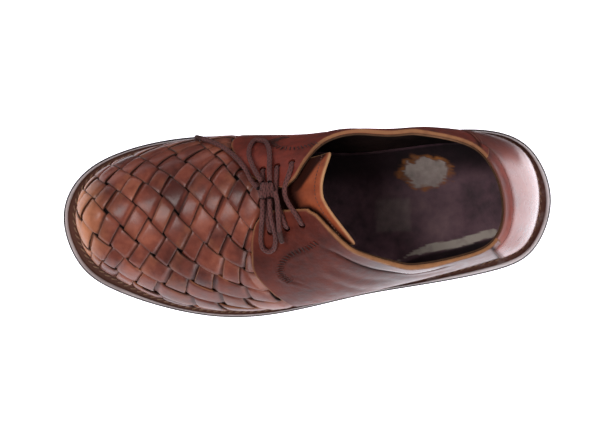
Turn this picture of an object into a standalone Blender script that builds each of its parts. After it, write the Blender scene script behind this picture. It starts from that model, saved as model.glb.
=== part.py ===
"""Low lace-up leather shoe, left foot, with a woven vamp and two quarter flaps over a tongue.

Sizes are in millimetres in the shoe's own plan: x runs from the back of the heel (0) to the toe,
y is positive on the outer (lateral) side and z is up from the floor. The finished pieces are in
metres, with the origin on the floor under the middle of the shoe.
"""

import math

import bmesh
import bpy
import numpy as np
from mathutils import Vector
from mathutils.bvhtree import BVHTree

for old in list(bpy.data.objects):
    bpy.data.objects.remove(old)

MM = 0.001

# Place of the origin in the shoe's plan: the middle of the whole shoe.
MIDDLE_X = 145.1
MIDDLE_Y = 8.3

# Thicknesses and clearances.
GAP = 0.3
WALL = 3.0
TONGUE_GAP = 0.9
TONGUE_THICK = 2.2
WELT_THICK = 3.5
WELT_INSET = 0.4
WELT_LAP = 1.0
INSOLE_RISE = 1.5
LACE_DIAMETER = 2.6

# Ribs: lines that climb the upper from its foot on the welt to its crest, one row for each station
# and side. x, y: the edge of the sole. show: the welt left outside the foot of the upper.
# swell, wall: how far the rib leans out and how high it climbs before it turns in.
# reach, drop: how broad the shoulder below the crest is, and how far it falls.
STATIONS = (
    "heel_back", "heel_corner", "heel_side", "ankle", "waist", "instep",
    "throat", "ball", "joint", "toe_corner", "toe_tip",
)
RIB_COLUMNS = ("x", "y", "show", "swell", "wall", "reach", "drop")
LATERAL_RIBS = {
    "heel_back": (0.0, 0.0, 9.4, 6.0, 22.0, 14.0, 26.0),
    "heel_corner": (9.9, 26.7, 8.5, 6.0, 22.0, 13.0, 26.0),
    "heel_side": (33.3, 39.6, 8.5, 5.5, 22.0, 13.0, 26.0),
    "ankle": (76.6, 47.0, 5.5, 6.0, 22.0, 20.0, 25.0),
    "waist": (114.5, 52.5, 3.5, 9.5, 25.0, 30.0, 4.0),
    "instep": (152.0, 60.0, 4.0, 8.0, 24.0, 27.0, 0.0),
    "throat": (189.3, 63.4, 5.0, 5.0, 20.0, 31.0, 0.0),
    "ball": (227.0, 57.4, 5.0, 4.0, 18.0, 33.0, 0.0),
    "joint": (261.7, 44.5, 8.2, 4.0, 18.0, 29.0, 0.0),
    "toe_corner": (282.3, 27.5, 9.0, 4.0, 18.0, 19.0, 0.0),
    "toe_tip": (290.3, 0.0, 9.0, 4.0, 18.0, 11.0, 0.0),
}
MEDIAL_RIBS = {
    "heel_corner": (7.1, -26.3, 7.0, 6.0, 22.0, 13.0, 26.0),
    "heel_side": (26.7, -41.5, 6.0, 6.5, 22.0, 19.0, 26.0),
    "ankle": (63.6, -44.1, 4.5, 10.0, 22.0, 30.0, 28.0),
    "waist": (108.9, -38.1, 2.5, 16.0, 25.0, 50.0, 6.0),
    "instep": (148.8, -40.4, 2.5, 16.0, 26.0, 32.0, 0.0),
    "throat": (188.7, -45.0, 3.0, 11.0, 20.0, 27.0, 0.0),
    "ball": (224.8, -44.3, 4.0, 7.5, 18.0, 26.0, 0.0),
    "joint": (257.0, -37.2, 5.5, 6.0, 18.0, 22.0, 0.0),
    "toe_corner": (280.0, -23.5, 7.0, 5.0, 18.0, 16.0, 0.0),
}

# Crests: the ridge over toe, vamp and instep, and behind it the line on which the leaning ankle
# walls would close. half: half the width of that opening. fan: the way in which the rib leaves the
# crest, in degrees from straight across towards the toe.
CREST_COLUMNS = ("x", "y", "z", "half", "fan")
CRESTS = {
    "heel_back": (44.0, -2.0, 112.0, 0.0, -90.0),
    "heel_corner": (50.0, -2.5, 112.0, 13.0, -50.0),
    "heel_side": (66.0, -4.0, 112.0, 19.0, -12.0),
    "ankle": (91.0, -5.5, 114.0, 17.0, 0.0),
    "waist": (118.0, -7.0, 111.0, 0.0, 0.0),
    "instep": (146.0, -8.0, 95.5, 0.0, 0.0),
    "throat": (174.0, -7.0, 78.0, 0.0, 0.0),
    "ball": (202.0, -5.0, 66.0, 0.0, 2.0),
    "joint": (229.0, -2.5, 58.0, 0.0, 12.0),
    "toe_corner": (250.0, -1.0, 53.0, 0.0, 42.0),
    "toe_tip": (262.0, 0.0, 50.0, 0.0, 90.0),
}

# Top line: the height of the collar, read by the station on the outer side and by minus the station
# on the inner side, and half the width of the throat between the quarter flaps.
COLLAR_COLUMNS = ("place", "z")
COLLAR = (
    (-6.0, 88.0), (-5.42, 86.5), (-5.2, 87.6), (-5.0, 84.2), (-4.6, 74.5), (-4.0, 70.0), (-3.0, 73.5),
    (-2.0, 76.0), (-1.0, 84.5), (0.0, 88.0), (1.0, 80.5), (2.0, 70.0), (3.0, 71.0), (3.5, 76.5),
    (4.0, 88.0), (4.5, 96.3), (4.8, 96.7), (5.0, 94.5), (5.2, 93.5), (6.0, 95.0),
)
THROAT_HALF = 6.8
THROAT_STATION = STATIONS.index("throat")

# Sole seen from the side: the height of its top at distances from the back of the heel, then the
# heel breast, the raised waist, the flat tread and the spring of the toe underneath.
PROFILE_COLUMNS = ("x", "top")
SOLE_TOP = (
    (0.0, 24.0),
    (40.0, 22.5),
    (80.0, 19.5),
    (120.0, 13.5),
    (165.0, 9.2),
    (205.0, 8.2),
    (240.0, 9.6),
    (268.0, 13.0),
    (290.3, 17.0),
)
HEEL_BREAST_X = 82.0
HEEL_BREAST_RAKE = 5.0
WAIST_CLEAR = 8.5
TREAD_START_X = 160.0
TREAD_END_X = 222.0
TOE_SPRING = 10.0
TOE_SPRING_POWER = 1.8
EDGE_TAPER = 2.0
BREAST_CLEAR = 2.0

# Tongue: the stations at which its top edge lies at the two sides and in the middle, the station
# of its front end under the vamp, and how far down the ribs its sides reach.
TONGUE_TOP = {"lateral": 4.08, "middle": 4.76, "medial": 4.58}
TONGUE_FRONT = 6.3
TONGUE_WRAP = 0.67

# Lace: eyelet places in plan, one row for each bar, then the routes of the bow as plan places with
# the height of the cord's middle over the surface of the upper.
BAR_COLUMNS = ("lateral_x", "lateral_y", "medial_x", "medial_y")
LACE_BARS = (
    (167.0, 13.2, 170.4, -25.0),
    (157.6, 11.6, 162.0, -26.7),
    (148.6, 9.9, 153.2, -28.8),
)
BAR_LIFT = LACE_DIAMETER / 2 + GAP
KNOT_PLACE = (166.2, -12.4)
KNOT_SIZE = (9.0, 8.0, 5.6)
KNOT_LIFT = 5.0
LACE_ROUTES = {
    "lace_loop_medial": (
        (164.3, -16.6, 4.9), (165.2, -23.0, 3.6), (165.5, -30.5, 2.2), (166.5, -36.8, 1.8),
        (169.6, -40.3, 1.8), (173.9, -40.7, 1.8), (177.0, -37.6, 1.8), (177.8, -32.8, 1.8),
        (176.2, -27.6, 2.4), (172.8, -22.0, 4.4), (169.0, -16.7, 5.0),
    ),
    "lace_loop_lateral": (
        (168.4, -8.1, 5.2), (169.0, -1.0, 4.9), (170.6, 5.4, 3.4), (171.9, 10.8, 1.9),
        (172.2, 16.4, 1.8), (170.8, 20.6, 1.8), (168.2, 21.9, 1.8), (165.6, 20.8, 1.8),
        (164.0, 17.2, 1.8), (163.6, 12.4, 2.0), (164.0, 7.0, 3.2), (164.3, 0.0, 4.9), (164.3, -8.1, 5.2),
    ),
    "lace_end_medial": (
        (171.0, -13.4, 5.0), (175.2, -17.2, 3.8), (179.4, -24.0, 2.2), (184.6, -30.4, 1.8),
        (194.0, -37.8, 1.8), (202.6, -41.6, 1.8), (209.2, -43.4, 1.8),
    ),
    "lace_end_lateral": (
        (161.3, -11.8, 5.0), (160.2, -7.4, 4.9), (160.0, -2.0, 4.8), (160.0, 4.0, 4.8),
        (159.8, 10.0, 4.7), (159.4, 15.6, 3.4),
    ),
}

# Fineness of the faceted surfaces.
RIBS_PER_STATION = 5
RIB_ROWS = 15
SOLE_RUNGS = 60
TONGUE_ROWS = 10
TONGUE_COLUMNS = 8
LACE_STEP = 3.0
KNOT_RINGS = 9
LAST_RIBS_PER_STATION = 12
LAST_ROWS = 41
MERGE_DISTANCE = 0.01
SHARP_ANGLE = 40.0

LAST_STATION = len(STATIONS) - 1
LOOP = 2 * LAST_STATION


def rows_round(lateral, medial):
    """Rows of the outer side from heel to toe, then of the inner side from toe to heel."""
    there = [lateral[name] for name in STATIONS]
    back = [medial[name] for name in reversed(STATIONS[1:-1])]
    return np.array(there + back, dtype=float)


def closed_spline(rows):
    """Smooth closed curve through all rows, read at positions counted in rows."""
    count = len(rows)
    one = np.eye(count)
    blend = (4.0 * one + np.roll(one, 1, axis=0) + np.roll(one, -1, axis=0)) / 6.0
    control = np.linalg.solve(blend, rows)

    def read(position):
        position = np.asarray(position, dtype=float)
        index = np.floor(position).astype(int)
        f = (position - index)[..., None]
        weights = (
            (1.0 - f) ** 3,
            3.0 * f**3 - 6.0 * f**2 + 4.0,
            -3.0 * f**3 + 3.0 * f**2 + 3.0 * f + 1.0,
            f**3,
        )
        parts = [w * control[(index + k - 1) % count] for k, w in enumerate(weights)]
        return sum(parts) / 6.0

    return read


def open_curve(places, rows):
    """Smooth open curve through rows that belong to increasing places."""
    places = np.asarray(places, dtype=float)
    rows = np.asarray(rows, dtype=float).reshape(len(places), -1)
    slopes = np.gradient(rows, places, axis=0)

    def read(place):
        place = np.clip(np.asarray(place, dtype=float), places[0], places[-1])
        index = np.clip(np.searchsorted(places, place) - 1, 0, len(places) - 2)
        width = (places[index + 1] - places[index])[..., None]
        f = (place - places[index])[..., None] / width
        start = (1.0 + 2.0 * f) * (1.0 - f) ** 2 * rows[index]
        end = f**2 * (3.0 - 2.0 * f) * rows[index + 1]
        bend = f * (1.0 - f) * ((1.0 - f) * slopes[index] - f * slopes[index + 1]) * width
        return start + end + bend

    return read


def column(values, columns, name):
    """Column of a table by its name."""
    return values[..., columns.index(name)]


def smooth_step(value):
    value = np.clip(value, 0.0, 1.0)
    return value * value * (3.0 - 2.0 * value)


rib_rows = closed_spline(rows_round(LATERAL_RIBS, MEDIAL_RIBS))
sole_top_curve = open_curve(
    [row[PROFILE_COLUMNS.index("x")] for row in SOLE_TOP],
    [row[PROFILE_COLUMNS.index("top")] for row in SOLE_TOP],
)


def crest_loop():
    """Crest rows round the shoe, with the columns that change sign on the inner side turned."""
    rows = []
    for name in STATIONS:
        row = dict(zip(CREST_COLUMNS, CRESTS[name]))
        turn = math.radians(row["fan"])
        rows.append((row["x"], row["y"], row["z"], row["half"], math.sin(turn), math.cos(turn)))
    rows = np.array(rows)
    mirrored = rows[-2:0:-1] * np.array((1.0, 1.0, 1.0, -1.0, 1.0, -1.0))
    return closed_spline(np.concatenate([rows, mirrored]))


crest_rows = crest_loop()


collar_height = open_curve(
    [row[COLLAR_COLUMNS.index("place")] for row in COLLAR],
    [row[COLLAR_COLUMNS.index("z")] for row in COLLAR],
)


def station_of(position):
    """Station counted from the heel on either side."""
    return np.where(position <= LAST_STATION, position, LOOP - position)


def side_of(position):
    return np.where((position > LAST_STATION) & (position < LOOP), -1.0, 1.0)


def sole_top(x):
    return sole_top_curve(x)[..., 0]


def sole_bottom(x):
    """Underside behind the toe: flat tread, waist raised behind it, toe spring ahead of it."""
    x = np.asarray(x, dtype=float)
    toe = LATERAL_RIBS["toe_tip"][0]
    ahead = np.clip((x - TREAD_END_X) / (toe - TREAD_END_X), 0.0, 1.0)
    behind = np.clip((TREAD_START_X - x) / (TREAD_START_X - HEEL_BREAST_X), 0.0, 1.0)
    return TOE_SPRING * ahead**TOE_SPRING_POWER + WAIST_CLEAR * smooth_step(behind)


def sole_edge(position):
    """Point on the edge of the sole and the direction that leads away from the shoe there."""
    step = 1e-3
    ahead = rib_rows(position + step)[..., :2]
    behind = rib_rows(position - step)[..., :2]
    along = (ahead - behind) / np.linalg.norm(ahead - behind, axis=-1, keepdims=True)
    away = np.stack([-along[..., 1], along[..., 0]], axis=-1)
    return rib_rows(position)[..., :2], away


def ridge_direction(station):
    """Way in which the crest line runs towards the toe, in the upright plane."""
    step = 0.15
    middle = np.clip(station, step, LAST_STATION - step)
    run = crest_rows(middle + step)[..., [0, 2]] - crest_rows(middle - step)[..., [0, 2]]
    run = run / np.linalg.norm(run, axis=-1, keepdims=True)
    return np.stack([run[..., 0], np.zeros_like(run[..., 0]), run[..., 1]], axis=-1)


def rib_controls(position):
    """Four control points of the rib at each position round the shoe."""
    position = np.asarray(position, dtype=float)
    values = rib_rows(position)
    show = column(values, RIB_COLUMNS, "show")
    swell = column(values, RIB_COLUMNS, "swell")
    wall = column(values, RIB_COLUMNS, "wall")
    reach = column(values, RIB_COLUMNS, "reach")
    drop = column(values, RIB_COLUMNS, "drop")
    edge, away = sole_edge(position)
    foot_plan = edge - show[..., None] * away
    foot_z = sole_top(foot_plan[..., 0]) + WELT_THICK + 2 * GAP
    foot = np.concatenate([foot_plan, foot_z[..., None]], axis=-1)
    outward = np.concatenate([away, np.zeros_like(foot_z)[..., None]], axis=-1)
    up = np.array((0.0, 0.0, 1.0))

    station = station_of(position)
    crest_values = crest_rows(position)
    closing = 1.0 - smooth_step(station - STATIONS.index("ankle"))
    crest = crest_values[..., :3].copy()
    crest[..., 1] += crest_values[..., 3] * closing
    across = np.array((0.0, 1.0, 0.0))
    leave = crest_values[..., 4:5] * ridge_direction(station) + crest_values[..., 5:6] * across
    leave = leave / np.linalg.norm(leave, axis=-1, keepdims=True)

    lean = foot + outward * swell[..., None] + up * wall[..., None]
    shoulder = crest + leave * reach[..., None] - up * drop[..., None]
    return np.stack([foot, lean, shoulder, crest], axis=-2)


def rib_points(controls, height):
    """Points of ribs at heights that run from 0 at the foot to 1 at the crest."""
    t = np.asarray(height)[..., None]
    foot, lean, shoulder, crest = (controls[..., None, k, :] for k in range(4))
    u = 1.0 - t
    return u**3 * foot + 3 * u**2 * t * lean + 3 * u * t**2 * shoulder + t**3 * crest


def upper_points(position, height, depth=0.0):
    """Points at a depth under the outside of the upper; height has a row for each position."""
    position = np.asarray(position, dtype=float)
    height = np.asarray(height, dtype=float)
    points = rib_points(rib_controls(position), height)
    if depth == 0.0:
        return points
    step = 1e-3
    inside = np.clip(height, step, 1.0 - step)
    here = rib_controls(position)
    along_rib = rib_points(here, inside + step) - rib_points(here, inside - step)
    ahead = rib_points(rib_controls(position + step), inside)
    behind = rib_points(rib_controls(position - step), inside)
    normal = np.cross(along_rib, ahead - behind)
    normal = normal / np.linalg.norm(normal, axis=-1, keepdims=True)
    ridge = ridge_direction(station_of(position))
    ridge_normal = np.stack([-ridge[:, 2], ridge[:, 1], ridge[:, 0]], axis=-1)
    on_ridge = (height > 1.0 - 1e-6)[..., None]
    normal = np.where(on_ridge, ridge_normal[:, None, :], normal)
    level = (height < 1e-6)[..., None]
    flat = normal * np.array((1.0, 1.0, 0.0))
    flat = flat / np.maximum(np.linalg.norm(flat, axis=-1, keepdims=True), 1e-9)
    return points - depth * np.where(level, flat, normal)


def top_heights(position):
    """Height along each rib at which the collar or the throat cuts it."""
    samples = np.linspace(0.0, 1.0, 401)
    points = rib_points(rib_controls(position), np.tile(samples, (len(position), 1)))
    station = station_of(position)
    middle = crest_rows(position)[:, 1]
    collar = collar_height(np.where(side_of(position) > 0, station, -station))[:, 0]
    heights = np.ones(len(position))
    for index in range(len(position)):
        if station[index] > THROAT_STATION - 1e-6:
            continue
        over = points[index, :, 2] - collar[index]
        inside = THROAT_HALF - np.abs(points[index, :, 1] - middle[index])
        if station[index] < STATIONS.index("ankle"):
            inside[:] = -1.0
        past = np.maximum(over, inside * 10.0) > 0.0
        first = int(np.argmax(past)) if past.any() else len(samples) - 1
        best = 1.0 if not past.any() else samples[first]
        for measure in (over, inside):
            if measure[first] > 0.0 and measure[first - 1] <= 0.0:
                share = -measure[first - 1] / (measure[first] - measure[first - 1])
                best = min(best, samples[first - 1] + share * (samples[1] - samples[0]))
        heights[index] = best
    return heights


def finish(name, verts, faces, colour, roughness):
    """Closed object with its own material from points in millimetres of the shoe's plan."""
    mesh = bpy.data.meshes.new(name)
    verts = (np.asarray(verts, dtype=float) - np.array((MIDDLE_X, MIDDLE_Y, 0.0))) * MM
    mesh.from_pydata([tuple(v) for v in verts], [], faces)
    shape = bmesh.new()
    shape.from_mesh(mesh)
    bmesh.ops.remove_doubles(shape, verts=shape.verts, dist=MERGE_DISTANCE * MM)
    bmesh.ops.recalc_face_normals(shape, faces=shape.faces)
    shape.to_mesh(mesh)
    shape.free()
    mesh.shade_smooth()
    mesh.set_sharp_from_angle(angle=math.radians(SHARP_ANGLE))
    piece = bpy.data.objects.new(name, mesh)
    bpy.context.scene.collection.objects.link(piece)
    mesh.materials.append(plain_material(name, colour, roughness))
    return piece


def plain_material(name, colour, roughness):
    material = bpy.data.materials.new(name)
    material.use_nodes = True
    shader = material.node_tree.nodes["Principled BSDF"]
    shader.inputs["Base Color"].default_value = (*colour, 1.0)
    shader.inputs["Roughness"].default_value = roughness
    shader.inputs["Metallic"].default_value = 0.0
    return material


def ring_faces(count, rows, closed):
    """Quads that join rows of points; each of count sections holds rows points."""
    faces = []
    last = count if closed else count - 1
    for i in range(last):
        j = (i + 1) % count
        for r in range(rows):
            s = (r + 1) % rows
            faces.append((i * rows + r, j * rows + r, j * rows + s, i * rows + s))
    return faces


def make_outsole():
    """Sole unit as sections across the shoe, with a heel breast and tapered edges."""
    dense = np.linspace(0.0, LAST_STATION, 800)
    lateral = rib_rows(dense)[:, :2]
    medial = rib_rows(LOOP - dense)[:, :2]
    turns = np.linspace(0.0, math.pi, SOLE_RUNGS)[1:-1]
    length = LATERAL_RIBS["toe_tip"][0]
    xs = length * (1.0 - np.cos(turns)) / 2.0
    breast_back = HEEL_BREAST_X - HEEL_BREAST_RAKE
    near_breast = (xs > breast_back - BREAST_CLEAR) & (xs < HEEL_BREAST_X + BREAST_CLEAR)
    stations = [(x, 0.0 if x < HEEL_BREAST_X else float(sole_bottom(x))) for x in xs[~near_breast]]
    stations += [(breast_back, 0.0), (HEEL_BREAST_X, WAIST_CLEAR)]
    stations.sort()
    verts = []
    for x, bottom in stations:
        y_lateral = np.interp(x, lateral[:, 0], lateral[:, 1])
        y_medial = np.interp(x, medial[:, 0], medial[:, 1])
        taper = min(EDGE_TAPER, 0.25 * (y_lateral - y_medial))
        top = float(sole_top(np.array(x)))
        verts += [
            (x, y_lateral, top),
            (x, y_lateral - taper, bottom),
            (x, y_medial + taper, bottom),
            (x, y_medial, top),
        ]
    count = len(stations)
    faces = ring_faces(count, 4, closed=False)
    for section in (0, count - 1):
        faces.append(tuple(section * 4 + r for r in range(4)))
    return finish("outsole", verts, faces, (0.05, 0.035, 0.03), 0.6)


def band(name, outer_inset, inner_inset, low, high, colour, roughness):
    """Strip of even thickness round the edge of the sole; insets are read at each position."""
    position = np.linspace(0.0, LOOP, LOOP * RIBS_PER_STATION, endpoint=False)
    edge, away = sole_edge(position)
    outer = edge - outer_inset(position)[:, None] * away
    inner = edge - inner_inset(position)[:, None] * away
    verts = []
    for out, inn in zip(outer, inner):
        for plan, rise in ((out, low), (out, high), (inn, high), (inn, low)):
            verts.append((plan[0], plan[1], float(sole_top(np.array(plan[0]))) + rise))
    return finish(name, verts, ring_faces(len(position), 4, closed=True), colour, roughness)


def wall_inset(position):
    """Distance from the edge of the sole to the inside of the foot of the upper."""
    return column(rib_rows(position), RIB_COLUMNS, "show") + WALL


def make_welt():
    return band(
        "welt",
        lambda position: np.full(len(position), WELT_INSET),
        lambda position: wall_inset(position) + WELT_LAP,
        GAP,
        GAP + WELT_THICK,
        (0.45, 0.34, 0.26),
        0.55,
    )


def make_insole():
    """Sock inside the welt: a plate whose rungs join the two sides."""
    steps = np.linspace(0.0, LAST_STATION, LAST_STATION * RIBS_PER_STATION + 1)[1:-1]
    verts = []
    for station in steps:
        position = np.array((station, LOOP - station))
        edge, away = sole_edge(position)
        plan = edge - (wall_inset(position) + WELT_LAP + GAP)[:, None] * away
        level = sole_top(plan[:, 0]) + GAP
        rise = WELT_THICK + INSOLE_RISE
        verts += [
            (plan[0, 0], plan[0, 1], level[0] + rise),
            (plan[0, 0], plan[0, 1], level[0]),
            (plan[1, 0], plan[1, 1], level[1]),
            (plan[1, 0], plan[1, 1], level[1] + rise),
        ]
    faces = ring_faces(len(steps), 4, closed=False)
    for section in (0, len(steps) - 1):
        faces.append(tuple(section * 4 + r for r in range(4)))
    return finish("insole", verts, faces, (0.03, 0.02, 0.02), 0.7)


def make_upper():
    """One wall between the outside of the last and its own inside, open at collar and throat."""
    position = np.linspace(0.0, LOOP, LOOP * RIBS_PER_STATION, endpoint=False)
    tops = top_heights(position)
    heights = tops[:, None] * np.linspace(0.0, 1.0, RIB_ROWS)[None, :]
    outside = upper_points(position, heights)
    inside = upper_points(position, heights, WALL)
    count = len(position)
    verts = np.concatenate([outside.reshape(-1, 3), inside.reshape(-1, 3)])
    inner = count * RIB_ROWS
    shut = station_of(position) > THROAT_STATION - 1e-6
    faces = []
    for i in range(count):
        j = (i + 1) % count
        a, b = i * RIB_ROWS, j * RIB_ROWS
        for r in range(RIB_ROWS - 1):
            faces.append((a + r, b + r, b + r + 1, a + r + 1))
            faces.append((inner + a + r, inner + a + r + 1, inner + b + r + 1, inner + b + r))
        faces.append((a, inner + a, inner + b, b))
        if not (shut[i] and shut[j]):
            top = RIB_ROWS - 1
            faces.append((a + top, b + top, inner + b + top, inner + a + top))
    return finish("upper", verts, faces, (0.16, 0.06, 0.04), 0.4)


def make_tongue():
    """Sheet under the flaps, at an even depth under the outside of the instep."""
    across = np.linspace(-1.0, 1.0, 2 * TONGUE_COLUMNS + 1)
    corners = [TONGUE_TOP[name] for name in ("medial", "middle", "lateral")]
    top_edge = open_curve((-1.0, 0.0, 1.0), corners)
    share = np.linspace(0.0, 1.0, TONGUE_ROWS)
    layers = []
    for depth in (WALL + TONGUE_GAP, WALL + TONGUE_GAP + TONGUE_THICK):
        columns = []
        for c in across:
            start = float(top_edge(np.array(c))[0])
            station = start + (TONGUE_FRONT - start) * share
            position = station if c >= 0.0 else LOOP - station
            height = np.full((TONGUE_ROWS, 1), 1.0 - abs(c) * (1.0 - TONGUE_WRAP))
            columns.append(upper_points(position, height, depth)[:, 0, :])
        layers.append(np.array(columns))
    count, rows = layers[0].shape[:2]
    verts = np.concatenate([layer.reshape(-1, 3) for layer in layers])
    under = count * rows
    faces = []
    for i in range(count - 1):
        for r in range(rows - 1):
            a, b = i * rows + r, (i + 1) * rows + r
            faces.append((a, b, b + 1, a + 1))
            faces.append((under + a, under + a + 1, under + b + 1, under + b))
        for r in (0, rows - 1):
            a, b = i * rows + r, (i + 1) * rows + r
            faces.append((a, under + a, under + b, b))
    for i in (0, count - 1):
        for r in range(rows - 1):
            a = i * rows + r
            faces.append((a, a + 1, under + a + 1, under + a))
    return finish("tongue", verts, faces, (0.25, 0.09, 0.045), 0.5)


def last_surface():
    """Whole outside of the last, also over throat and collar, to lay the lace on."""
    position = np.linspace(0.0, LOOP, LOOP * LAST_RIBS_PER_STATION, endpoint=False)
    heights = np.tile(np.linspace(0.0, 1.0, LAST_ROWS), (len(position), 1))
    points = upper_points(position, heights)
    count, rows = points.shape[:2]
    faces = []
    for i in range(count):
        j = (i + 1) % count
        for r in range(rows - 1):
            faces.append((i * rows + r, j * rows + r, j * rows + r + 1, i * rows + r + 1))
    return BVHTree.FromPolygons([Vector(p) for p in points.reshape(-1, 3)], faces)


SKY = 200.0
LAST = last_surface()


def over_upper(x, y, lift):
    """Point that stands off the outside of the last by lift, over a place in plan."""
    hit, normal, _, _ = LAST.ray_cast(Vector((x, y, SKY)), Vector((0.0, 0.0, -1.0)))
    if normal.z < 0.0:
        normal = -normal
    return np.array(hit + normal * lift)


def smooth_route(points, step):
    """Points at even steps along a smooth curve through the points given."""
    points = np.asarray(points, dtype=float)
    runs = np.concatenate([[0.0], np.cumsum(np.linalg.norm(np.diff(points, axis=0), axis=1))])
    curve = open_curve(runs, points)
    count = max(3, int(round(runs[-1] / step)) + 1)
    return curve(np.linspace(0.0, runs[-1], count))


def make_cord(name, points):
    """Round lace along points, with closed ends."""
    data = bpy.data.curves.new(name, "CURVE")
    data.dimensions = "3D"
    data.bevel_depth = LACE_DIAMETER / 2 * MM
    data.bevel_resolution = 2
    data.use_fill_caps = True
    spline = data.splines.new("POLY")
    spline.points.add(len(points) - 1)
    for target, point in zip(spline.points, points):
        place = (point - np.array((MIDDLE_X, MIDDLE_Y, 0.0))) * MM
        target.co = (*place, 1.0)
    cord = bpy.data.objects.new(name, data)
    bpy.context.scene.collection.objects.link(cord)
    data.materials.append(plain_material(name, (0.08, 0.045, 0.04), 0.6))
    return cord


def make_lace():
    for number, row in enumerate(LACE_BARS, start=1):
        bar = dict(zip(BAR_COLUMNS, row))
        lateral = np.array((bar["lateral_x"], bar["lateral_y"]))
        medial = np.array((bar["medial_x"], bar["medial_y"]))
        plan = [lateral + (medial - lateral) * share for share in np.linspace(0.0, 1.0, 9)]
        points = [over_upper(x, y, BAR_LIFT) for x, y in plan]
        make_cord(f"lace_bar_{number}", smooth_route(points, LACE_STEP))
    for name, route in LACE_ROUTES.items():
        points = [over_upper(x, y, lift) for x, y, lift in route]
        make_cord(name, smooth_route(points, LACE_STEP))
    centre = over_upper(*KNOT_PLACE, KNOT_LIFT)
    ball = bmesh.new()
    bmesh.ops.create_uvsphere(ball, u_segments=KNOT_RINGS + 5, v_segments=KNOT_RINGS, radius=0.5)
    verts = [tuple(centre + np.array(v.co) * np.array(KNOT_SIZE)) for v in ball.verts]
    faces = [tuple(v.index for v in face.verts) for face in ball.faces]
    ball.free()
    finish("lace_knot", verts, faces, (0.08, 0.045, 0.04), 0.6)


make_outsole()
make_welt()
make_insole()
make_upper()
make_tongue()
make_lace()
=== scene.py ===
# %% [markdown]
# # A low leather lace-up with a woven vamp
# The shoe is made here in the order a shoemaker works: first the last (the foot-shaped block), then
# the leather that is pulled over it, then welt and sole, then the lace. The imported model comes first,
# because it is the fixed frame: each piece below stands where its solid in the frame stands.

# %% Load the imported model
import math

import bmesh
import bpy
import numpy as np
from mathutils import Matrix, Vector
from mathutils.bvhtree import BVHTree


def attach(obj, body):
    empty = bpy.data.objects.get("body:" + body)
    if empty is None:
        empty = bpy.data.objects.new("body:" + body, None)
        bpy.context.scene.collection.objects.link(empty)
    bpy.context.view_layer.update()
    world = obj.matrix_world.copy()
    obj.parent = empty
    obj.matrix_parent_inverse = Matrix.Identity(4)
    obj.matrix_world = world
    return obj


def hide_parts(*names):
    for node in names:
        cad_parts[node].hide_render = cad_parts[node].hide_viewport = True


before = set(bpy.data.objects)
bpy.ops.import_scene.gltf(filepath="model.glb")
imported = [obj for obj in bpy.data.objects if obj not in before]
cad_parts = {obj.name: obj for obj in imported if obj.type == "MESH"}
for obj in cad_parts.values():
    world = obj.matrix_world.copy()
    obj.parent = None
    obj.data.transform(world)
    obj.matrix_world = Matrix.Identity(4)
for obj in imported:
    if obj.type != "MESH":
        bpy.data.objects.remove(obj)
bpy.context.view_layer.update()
print("nodes in the frame:", sorted(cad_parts))

# %% [markdown]
# ## The shoe's own plan
# All sizes are millimetres in a plan of the shoe: x runs from the back of the heel to the toe, y is
# positive on the outer (lateral) side, z is up from the floor. One small function brings points of
# the plan into the frame, so no other line has to think about metres or about the origin.

# %% Plan to frame
MM = 0.001
MIDDLE = np.array((145.1, 8.3, 0.0))


def to_frame(points):
    """Points of the plan, in millimetres, as points of the frame, in metres."""
    return (np.asarray(points, dtype=float) - MIDDLE) * MM


print("middle of the plan, mm:", MIDDLE)

# %% [markdown]
# ## Camera
# The shoe was photographed from straight above with a long lens, toe to the left. The camera stands
# over the same place of the plan and is turned by the small angle at which the shoe lay. A long lens
# keeps the sole's edge and the collar in the same relation as in the picture.

# %% Camera over the shoe
LENS_PLACE = (162.6, -48.1, 2520.0)
LENS_AIM = (146.0, 6.0, 30.0)
SHOE_TURN = math.radians(1.876)
SHOE_LENGTH = 290.3
SHOE_SHARE = 0.80
SENSOR_WIDTH = 36.0


def add_object(name, data):
    """New object in the scene, with its mesh, camera or lamp."""
    made = bpy.data.objects.new(name, data)
    bpy.context.scene.collection.objects.link(made)
    return made


def make_camera():
    eye, aim = Vector(to_frame(LENS_PLACE)), Vector(to_frame(LENS_AIM))
    back = (eye - aim).normalized()
    right = Vector((-math.cos(SHOE_TURN), math.sin(SHOE_TURN), 0.0))
    right = (right - right.dot(back) * back).normalized()
    data = bpy.data.cameras.new("camera")
    data.sensor_width = SENSOR_WIDTH
    data.lens = SENSOR_WIDTH * (eye - aim).length / (SHOE_LENGTH / SHOE_SHARE * MM)
    camera = add_object("camera", data)
    turn = Matrix((right, back.cross(right), back)).transposed().to_4x4()
    camera.matrix_world = Matrix.Translation(eye) @ turn
    bpy.context.scene.camera = camera
    return camera


camera = make_camera()
print("lens", round(camera.data.lens, 1), "mm")

# %% [markdown]
# ## Floor and light
# The shoe stood on a white light table. Polished leather is drawn by what it mirrors: seen from above,
# the steep walls of heel and toe mirror the table itself, so the floor glows, with a faint lilac that
# is still white to the camera. One card of the floor, on the inner side, is left out of all mirrors,
# because a dark shoe stood there. Nothing hangs straight overhead, where it would lie as a grey veil
# on every flat place; five windows stand round the shoe, for soft light, for gloss, or for both.

# %% Helpers for nodes, materials and grids
def set_inputs(tree, node, inputs):
    """Gives inputs of a node a value, or the output that feeds them."""
    for key, value in inputs.items():
        if isinstance(value, bpy.types.NodeSocket):
            tree.links.new(value, node.inputs[key])
        else:
            node.inputs[key].default_value = value


def add_node(tree, kind, inputs=None, **settings):
    """New node with its settings and its inputs."""
    node = tree.nodes.new(kind)
    for key, value in settings.items():
        setattr(node, key, value)
    set_inputs(tree, node, inputs or {})
    return node


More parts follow.
